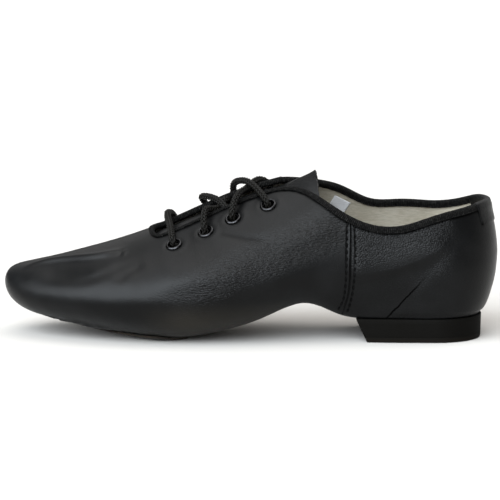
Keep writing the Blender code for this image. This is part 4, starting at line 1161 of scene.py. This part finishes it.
radius, height = (np.array(column) for column in zip(*EYELET_PROFILE))
spin = (2 * np.pi / EYELET_SIDES * np.arange(EYELET_SIDES))[:, None]
turned = np.stack((radius * np.cos(spin), radius * np.sin(spin), height + 0 * spin), -1)
eyelet = mesh_object("eyelet_turned", turned.reshape(-1, 3) - LAST_ORIGIN,
                     grid_faces(*turned.shape[:2], 0, True, True))
material, tree = new_material("eyelet_steel")
place = place_of(tree)
rub, fine = noise(place, 900.0, 3.0), noise(place, 6000.0)
finish(tree, {"Metallic": 1.0}, rub.ramp(0.35, 0.7).mix(STEEL_DARK, STEEL_RUBBED), 0.22 + (fine - 0.5) * 0.08,
       (fine - 0.5) * 0.02)
tree, given, names = grow("eyelet_setting", {"Eyelet": "Object", "Finish": "Material"})
shape = Wire.of(tree, "GeometryNodeObjectInfo", {}, {"Object": given["Eyelet"]}, "Geometry")
turn = Wire.of(tree, "FunctionNodeAlignRotationToVector", {"axis": "Z"}, {"Vector": up_here(tree)})
dots = Wire.of(tree, "GeometryNodeMeshToPoints", {}, {0: given["Geometry"]})
rings = Wire.of(tree, "GeometryNodeInstanceOnPoints", {}, {"Points": dots, "Instance": shape, "Rotation": turn})
end_tree(rings, given["Finish"])
seats, axes = [], []
for side in SIDES:
    u, q = eyelet_places(side)
    seats.append(skin(u, side, q, EYELET_SEAT))
    axes.append(last_normal(u, side, q))
eyelets = line_object("eyelets", seats, axes)
run_tree(eyelets, tree, names, {"Eyelet": eyelet, "Finish": material})
bpy.data.objects.remove(eyelet)
declare(eyelets, "metal", *(f"eyelet_{word}_{n}" for word in ("outer", "inner") for n in (1, 2, 3, 4)))


# The lace: one round braided cord. It makes a bar over the front eyelets, runs under the facings to the second
# pair, crosses to the third and the fourth, and its ends are tucked in behind the top eyelets.
LACE_CLEAR, LACE_LEAD, LACE_FROM_EDGE, LACE_SINK = 3.0, 5.0, 3.4, 1.0
LACE_UNDER, LACE_END = -3.1, -4.0
KNOTS_APART, ROUTE_STEP, ROUTE_PASSES = 0.09, 0.8, 5
STRANDS, STRAND, STRAND_SIDES, STRAND_STEP = 8, 0.46, 5, 0.55
BRAID_RADIUS, BRAID_WEAVE, BRAID_PITCH, BRAID_CORE, CORE_SIDES = 1.20, 0.30, 9.0, 0.95, 10
LACE_DARK, LACE_LIGHT = shade(0.0006, 0.0005, 0.0004), shade(0.0046, 0.0040, 0.0029)
OUT, IN = (-1.8, 0.6, 2.2), (2.2, 0.6, -1.8)
# The runs over the throat. Columns: share of the way, rise there, and shift towards the toe.
BAR = ((0, 0, 0), (0.3, 4.8, 2.0), (0.55, 6.5, 3.8), (0.72, 7.0, 4.0), (0.86, 5.2, 2.2), (1, 0, 0))
LOW_CROSS = {
    LATERAL: ((0, 0, 0), (0.2, 3.4, 2.2), (0.38, 3.6, 3.0), (0.55, 1.0, 1.6), (0.8, -1.5, 0), (1, 0, 0)),
    MEDIAL: ((0, 0, 0), (0.15, 3.0, 3.2), (0.3, 5.0, 5.6), (0.5, 5.0, 3.8), (0.8, 2.8, 1.0), (1, 0, 0)),
}
HIGH_CROSS = {
    MEDIAL: ((0, 0, 0), (0.12, 4.6, 2.2), (0.3, 7.6, 3.0), (0.52, 8.4, 1.8), (0.8, 4.2, 0.4), (1, 0, 0)),
    LATERAL: ((0, 0, 0), (0.15, 4.2, 1.2), (0.3, 5.6, 1.8), (0.52, 4.6, 2.0), (0.75, 4.6, 2.0), (0.9, 3.0, 2.0),
              (1, 0, 0)),
}


def lace_over(side, number, height):
    """A point on the axis of an eyelet, height over the leather."""
    u, q = (array[number - 1] for array in eyelet_places(side))
    return skin(u, side, q, height)


def lace_under(side, x, from_edge, depth):
    """A point at x, so far from the throat's edge and so deep under the leather."""
    u = row_at(x)
    return skin(u, side, q_from_top(u, side, throat_half(x) + from_edge), depth)


def lace_run(start, end, bow):
    """A run over the throat: a straight line bowed by a smooth curve through the rows of bow."""
    place, *bends = np.array(bow).T
    share = np.linspace(0, 1, 25)
    i = np.clip(np.searchsorted(place, share, "right") - 1, 0, len(place) - 2)
    width = np.diff(place)[i]
    t = (share - place[i]) / width
    rise, forward = (
        bend[i] * (1 + 2 * t) * (1 - t) ** 2 + bend[i + 1] * t * t * (3 - 2 * t)
        + width * t * (1 - t) * ((1 - t) * np.gradient(bend, place)[i] - t * np.gradient(bend, place)[i + 1])
        for bend in bends
    )
    return start + (end - start) * share[:, None] + np.stack((-forward, 0 * share, rise), 1)


def through(side, number, heights):
    """Points on the axis of an eyelet."""
    return np.stack([lace_over(side, number, height) for height in heights])


def into_throat(side, number):
    """From where a run goes under the facing to the eyelet it comes out of."""
    x = EYELET_X[number - 1]
    near = lace_under(side, x - 3.2, 0.5, LACE_UNDER)
    far = lace_under(side, x - 1.0, 5.0, LACE_UNDER)
    return np.stack((near, far))


def throat_point(side, number):
    """Where a run dips into the throat on its way to an eyelet."""
    return lace_under(side, EYELET_X[number - 1] - LACE_LEAD, -LACE_FROM_EDGE, -LACE_SINK)


def under_facing(side):
    """The hidden run from the first eyelet to the second."""
    (u1, u2), (q1, q2) = (array[:2] for array in eyelet_places(side))
    share = np.array((0.25, 0.5, 0.75))
    return skin(u1 + (u2 - u1) * share, side, q1 + (q2 - q1) * share, LACE_UNDER)


def lace_half(side):
    """Half of the lace: from the bar's end at the first eyelet of a side to its own end behind a top eyelet."""
    far = -side
    return np.concatenate((
        through(side, 1, IN), under_facing(side), through(side, 2, OUT),
        lace_run(lace_over(side, 2, LACE_CLEAR), throat_point(far, 3), LOW_CROSS[side]),
        into_throat(far, 3), through(far, 3, OUT),
        lace_run(lace_over(far, 3, LACE_CLEAR), lace_over(side, 4, LACE_CLEAR), HIGH_CROSS[far]),
        through(side, 4, IN + (LACE_END,)),
    ))


bar = lace_run(lace_over(LATERAL, 1, LACE_CLEAR), lace_over(MEDIAL, 1, LACE_CLEAR), BAR)
route = np.concatenate((lace_half(LATERAL)[::-1], bar, lace_half(MEDIAL)))
gaps = np.linalg.norm(np.diff(route, axis=0), axis=1)
route = route[np.concatenate(((True,), gaps > KNOTS_APART))]
for _ in range(ROUTE_PASSES):
    # The points are spread at even steps, and each corner is eased.
    length = arc_length(route)
    even = np.linspace(0, length[-1], int(length[-1] / ROUTE_STEP))
    route = np.stack([np.interp(even, length, route[:, axis]) for axis in range(3)], 1)
    route[1:-1] = route[1:-1] * 0.5 + (route[:-2] + route[2:]) * 0.25
lace = line_object("lace", [route])
material, tree = new_material("lace_braid")
place = place_of(tree)
fuzz, fibre = noise(place, 3000.0), noise(place, 9000.0, 1.0)
finish(tree, {"Specular IOR Level": 0.125}, (fuzz * 0.8 + fibre * 0.3).ramp(0.35, 0.75).mix(LACE_DARK, LACE_LIGHT),
       0.50 + (fuzz - 0.5) * 0.2, (fuzz - 0.5) * 0.05 + (fibre - 0.5) * 0.03)
braid = {"Strand radius": STRAND, "Braid radius": BRAID_RADIUS, "Weave": BRAID_WEAVE, "Pitch": BRAID_PITCH,
         "Core radius": BRAID_CORE, "Step": STRAND_STEP}
tree, given, names = grow("lace_braiding", {"Strands": "Int", **{label: "Float" for label in braid},
                                            "Finish": "Material"})
line = Wire.of(tree, "GeometryNodeMeshToCurve", {}, {0: given["Geometry"]})
line = Wire.of(tree, "GeometryNodeResampleCurve", {"mode": "LENGTH"}, {"Curve": line, "Length": given["Step"]})
copies = Wire.of(tree, "GeometryNodeDuplicateElements", {"domain": "SPLINE"},
                 {"Geometry": line, "Amount": given["Strands"]})
# Every other strand winds the other way, and each goes over one strand and under the next.
index = copies.out("Duplicate Index")
way = 1 - 2 * index.math("MODULO", 2)
pair = (index / 2).math("FLOOR")
turns = Wire.of(tree, "GeometryNodeSplineParameter", output="Length") / given["Pitch"] * math.tau
angle = way * turns + pair * 2 / given["Strands"] * math.tau
radius = given["Braid radius"] + way * (turns * (given["Strands"] / 2)).math("COSINE") * given["Weave"]
normal = Wire.of(tree, "GeometryNodeInputNormal")
tangent = Wire.of(tree, "GeometryNodeInputTangent")
across_line = Wire.of(tree, "ShaderNodeVectorMath", {"operation": "CROSS_PRODUCT"}, {0: tangent, 1: normal})
parts = [Wire.of(tree, "ShaderNodeVectorMath", {"operation": "SCALE"}, {0: axis, "Scale": radius * angle.math(wave)})
         for axis, wave in ((normal, "COSINE"), (across_line, "SINE"))]
offset = Wire.of(tree, "ShaderNodeVectorMath", {"operation": "ADD"}, {0: parts[0], 1: parts[1]})
strands = Wire.of(tree, "GeometryNodeSetPosition", {}, {"Geometry": copies, "Offset": offset})
tubes, core = (
    Wire.of(tree, "GeometryNodeCurveToMesh", {}, {
        "Curve": path, "Fill Caps": True,
        "Profile Curve": Wire.of(tree, "GeometryNodeCurvePrimitiveCircle", {},
                                 {"Resolution": sides, "Radius": given[label]}),
    })
    for path, sides, label in ((strands, STRAND_SIDES, "Strand radius"), (line, CORE_SIDES, "Core radius"))
)
both = Wire.of(tree, "GeometryNodeJoinGeometry", {}, {0: tubes})
tree.links.new(core.socket, both.node.inputs[0])
end_tree(both, given["Finish"])
run_tree(lace, tree, names, {"Strands": STRANDS, **{label: size * MM for label, size in braid.items()},
                             "Finish": material})
declare(lace, "lace", "lace_bar", "lace_cross_low", "lace_cross_high")


# The stitching: bonded black thread. Two rows hold each seam of vamp and quarter, and one row runs round the whole
# binding. Each stitch is drawn down into the leather at both ends.
SEAM_PITCH, SEAM_STITCH = 3.3, (2.3, 0.62, 0.72)
BINDING_PITCH, BINDING_STITCH = 3.0, (2.1, 0.55, 0.6)
THREAD_DARK, THREAD_LIGHT = shade(0.0006, 0.0006, 0.0006), shade(0.0020, 0.0019, 0.0018)
material, tree = new_material("stitch_thread")
twist = noise(place_of(tree), 5000.0)
finish(tree, {"Specular IOR Level": 0.06}, twist.ramp(0.3, 0.7).mix(THREAD_DARK, THREAD_LIGHT),
       0.62 + (twist - 0.5) * 0.2, (twist - 0.5) * 0.04)
tree, given, names = grow("stitching", {"Pitch": "Float", "Size": "Vector", "Thread": "Material"})
line = Wire.of(tree, "GeometryNodeMeshToCurve", {}, {0: given["Geometry"]})
line = Wire.of(tree, "GeometryNodeResampleCurve", {"mode": "LENGTH"}, {"Curve": line, "Length": given["Pitch"]})
bead = Wire.of(tree, "GeometryNodeMeshUVSphere", {}, {"Segments": 8, "Rings": 6, "Radius": 0.5})
bead = Wire.of(tree, "GeometryNodeTransform", {}, {"Geometry": bead, "Scale": given["Size"]})
turn = Wire.of(tree, "FunctionNodeAxesToRotation", {"primary_axis": "Z", "secondary_axis": "X"},
               {0: up_here(tree), 1: Wire.of(tree, "GeometryNodeInputTangent")})
stitches = Wire.of(tree, "GeometryNodeInstanceOnPoints", {}, {"Points": line, "Instance": bead, "Rotation": turn})
end_tree(stitches, given["Thread"])


def sew(obj, pitch, size):
    """Sets stitches along the lines of an object."""
    run_tree(obj, tree, names, {"Pitch": pitch * MM, "Size": Vector(size) * MM, "Thread": material})
    declare(obj, "tape")


rows, ups = [], []
for side in SIDES:
    for line in (SEAM_FRONT, SEAM_BACK):
        u, q = on_side(side, line, SEAM_STEPS)
        rows.append(skin(u, side, q))
        ups.append(last_normal(u, side, q))
sew(line_object("seam_stitches", rows, ups), SEAM_PITCH, SEAM_STITCH)
row = off_edge(ring, (deep - BINDING_SEWN)[:, None], RIBBON - BINDING_DIP)[:, 0]
sew(line_object("binding_stitches", [row], [last_normal(*ring[:3])], closed=True), BINDING_PITCH, BINDING_STITCH)


# The label: a small plain bit of white woven tape. It is sewn flat to the lining, a little under the binding, inside
# the collar on the inner side of the foot.
LABEL_X, LABEL_BELOW, LABEL_HIGH = (46.5, 55.0), 5.2, 8.5
LABEL_DEPTHS, LABEL_STEPS = (0.03, 0.28), 16
LABEL_PALE, LABEL_SHADE = shade(0.50, 0.50, 0.51), shade(0.42, 0.42, 0.43)
u = row_at(np.linspace(*LABEL_X, LABEL_STEPS))
frames = edge_frames(u, np.full(LABEL_STEPS, MEDIAL))
reach = np.linspace(LABEL_BELOW, LABEL_BELOW + LABEL_HIGH, LABEL_STEPS)[None, :]
label = slab("plain_label", *(off_edge(frames, reach, -WALL - depth) for depth in LABEL_DEPTHS))
label.data.materials.append(canvas_material("label_tape", LABEL_PALE, LABEL_SHADE))
declare(label, "lining")


# The stage: a plain pale floor under soft studio light, which is painted round the world as a few panels. The camera
# stands where the photograph was taken, level with the outer side of the shoe.
FLOOR_REACH, FLOOR_BELOW, FLOOR_PALE = 14.0, 0.00005, shade(0.44, 0.424, 0.405)
CAMERA_TURN, CAMERA_RISE, CAMERA_AWAY = math.radians(-1.0), math.radians(10.5), 1.3
LENS, SENSOR = 180.3, 36.0
FRAME_SIDE, ORIGIN_BELOW = 500.0, 83.0
KEY_LIGHT, TOP_LIGHT, BACK_LIGHT, FAR_LIGHT, ROOM_LIGHT = 9.2, 3.9, 1.4, 0.5, 0.09
KEY_TINT, ROOM_TINT = shade(0.93, 1.0, 1.06), shade(1.0, 0.995, 0.985)
mesh = bpy.data.meshes.new("floor")
corners = ((-1, -1), (1, -1), (1, 1), (-1, 1))
mesh.from_pydata([(x * FLOOR_REACH, y * FLOOR_REACH, -FLOOR_BELOW) for x, y in corners], [], [(0, 1, 2, 3)])
floor = place_in_scene("floor", mesh)
material, tree = new_material("pale_floor")
finish(tree, {"Base Color": FLOOR_PALE, "Roughness": 1.0, "Specular IOR Level": 0.0})
mesh.materials.append(material)

world = bpy.data.worlds.new("studio")
world.use_nodes = True
bpy.context.scene.world = world
tree = world.node_tree
x, y, z = split(Wire.of(tree, "ShaderNodeTexCoord", output="Generated"))
round_about, upward = x.math("ARCTAN2", y * -1), z.math("ARCSINE")


def light_panel(turns, heights, soft_turn, soft_height, strength):
    """A soft panel of light between two turns from the camera's side and two heights, in degrees."""
    span = strength
    for wire, (low, high), soft in ((round_about, turns, soft_turn), (upward, heights, soft_height)):
        edges = [math.radians(edge) for edge in (low - soft, low + soft, high + soft, high - soft)]
        span = wire.ramp(*edges[:2]) * wire.ramp(*edges[2:]) * span
    return span


front = light_panel((-75, 10), (10, 58), 14, 4, KEY_LIGHT)
above = light_panel((-400, 400), (62, 200), 10, 14, TOP_LIGHT)
behind = light_panel((95, 150), (8, 60), 25, 12, BACK_LIGHT)
far = sum(light_panel(turns, (12, 56), 20, 10, FAR_LIGHT) for turns in ((150, 400), (-400, -140)))
light = front + above + behind + far + ROOM_LIGHT
background = tree.nodes["Background"]
tree.links.new(light.socket, background.inputs["Strength"])
tint = (front / KEY_LIGHT).mix(ROOM_TINT, KEY_TINT)
tree.links.new(tint.socket, background.inputs["Color"])
bpy.context.scene.view_settings.view_transform = "Standard"

lens = bpy.data.cameras.new("camera")
lens.lens, lens.sensor_width = LENS, SENSOR
camera = place_in_scene("camera", lens)
bpy.context.scene.camera = camera
flat = math.cos(CAMERA_RISE)
ahead = Vector((math.sin(CAMERA_TURN) * flat, math.cos(CAMERA_TURN) * flat, -math.sin(CAMERA_RISE)))
level = ahead.cross(Vector((0, 0, 1))).normalized()
tilt = math.atan(ORIGIN_BELOW / FRAME_SIDE * SENSOR / LENS)
camera.location = Vector(LAST_ORIGIN * MM) - ahead * CAMERA_AWAY
camera.rotation_mode = "QUATERNION"
camera.rotation_quaternion = (Matrix.Rotation(tilt, 3, level) @ ahead).to_track_quat("-Z", "Y")
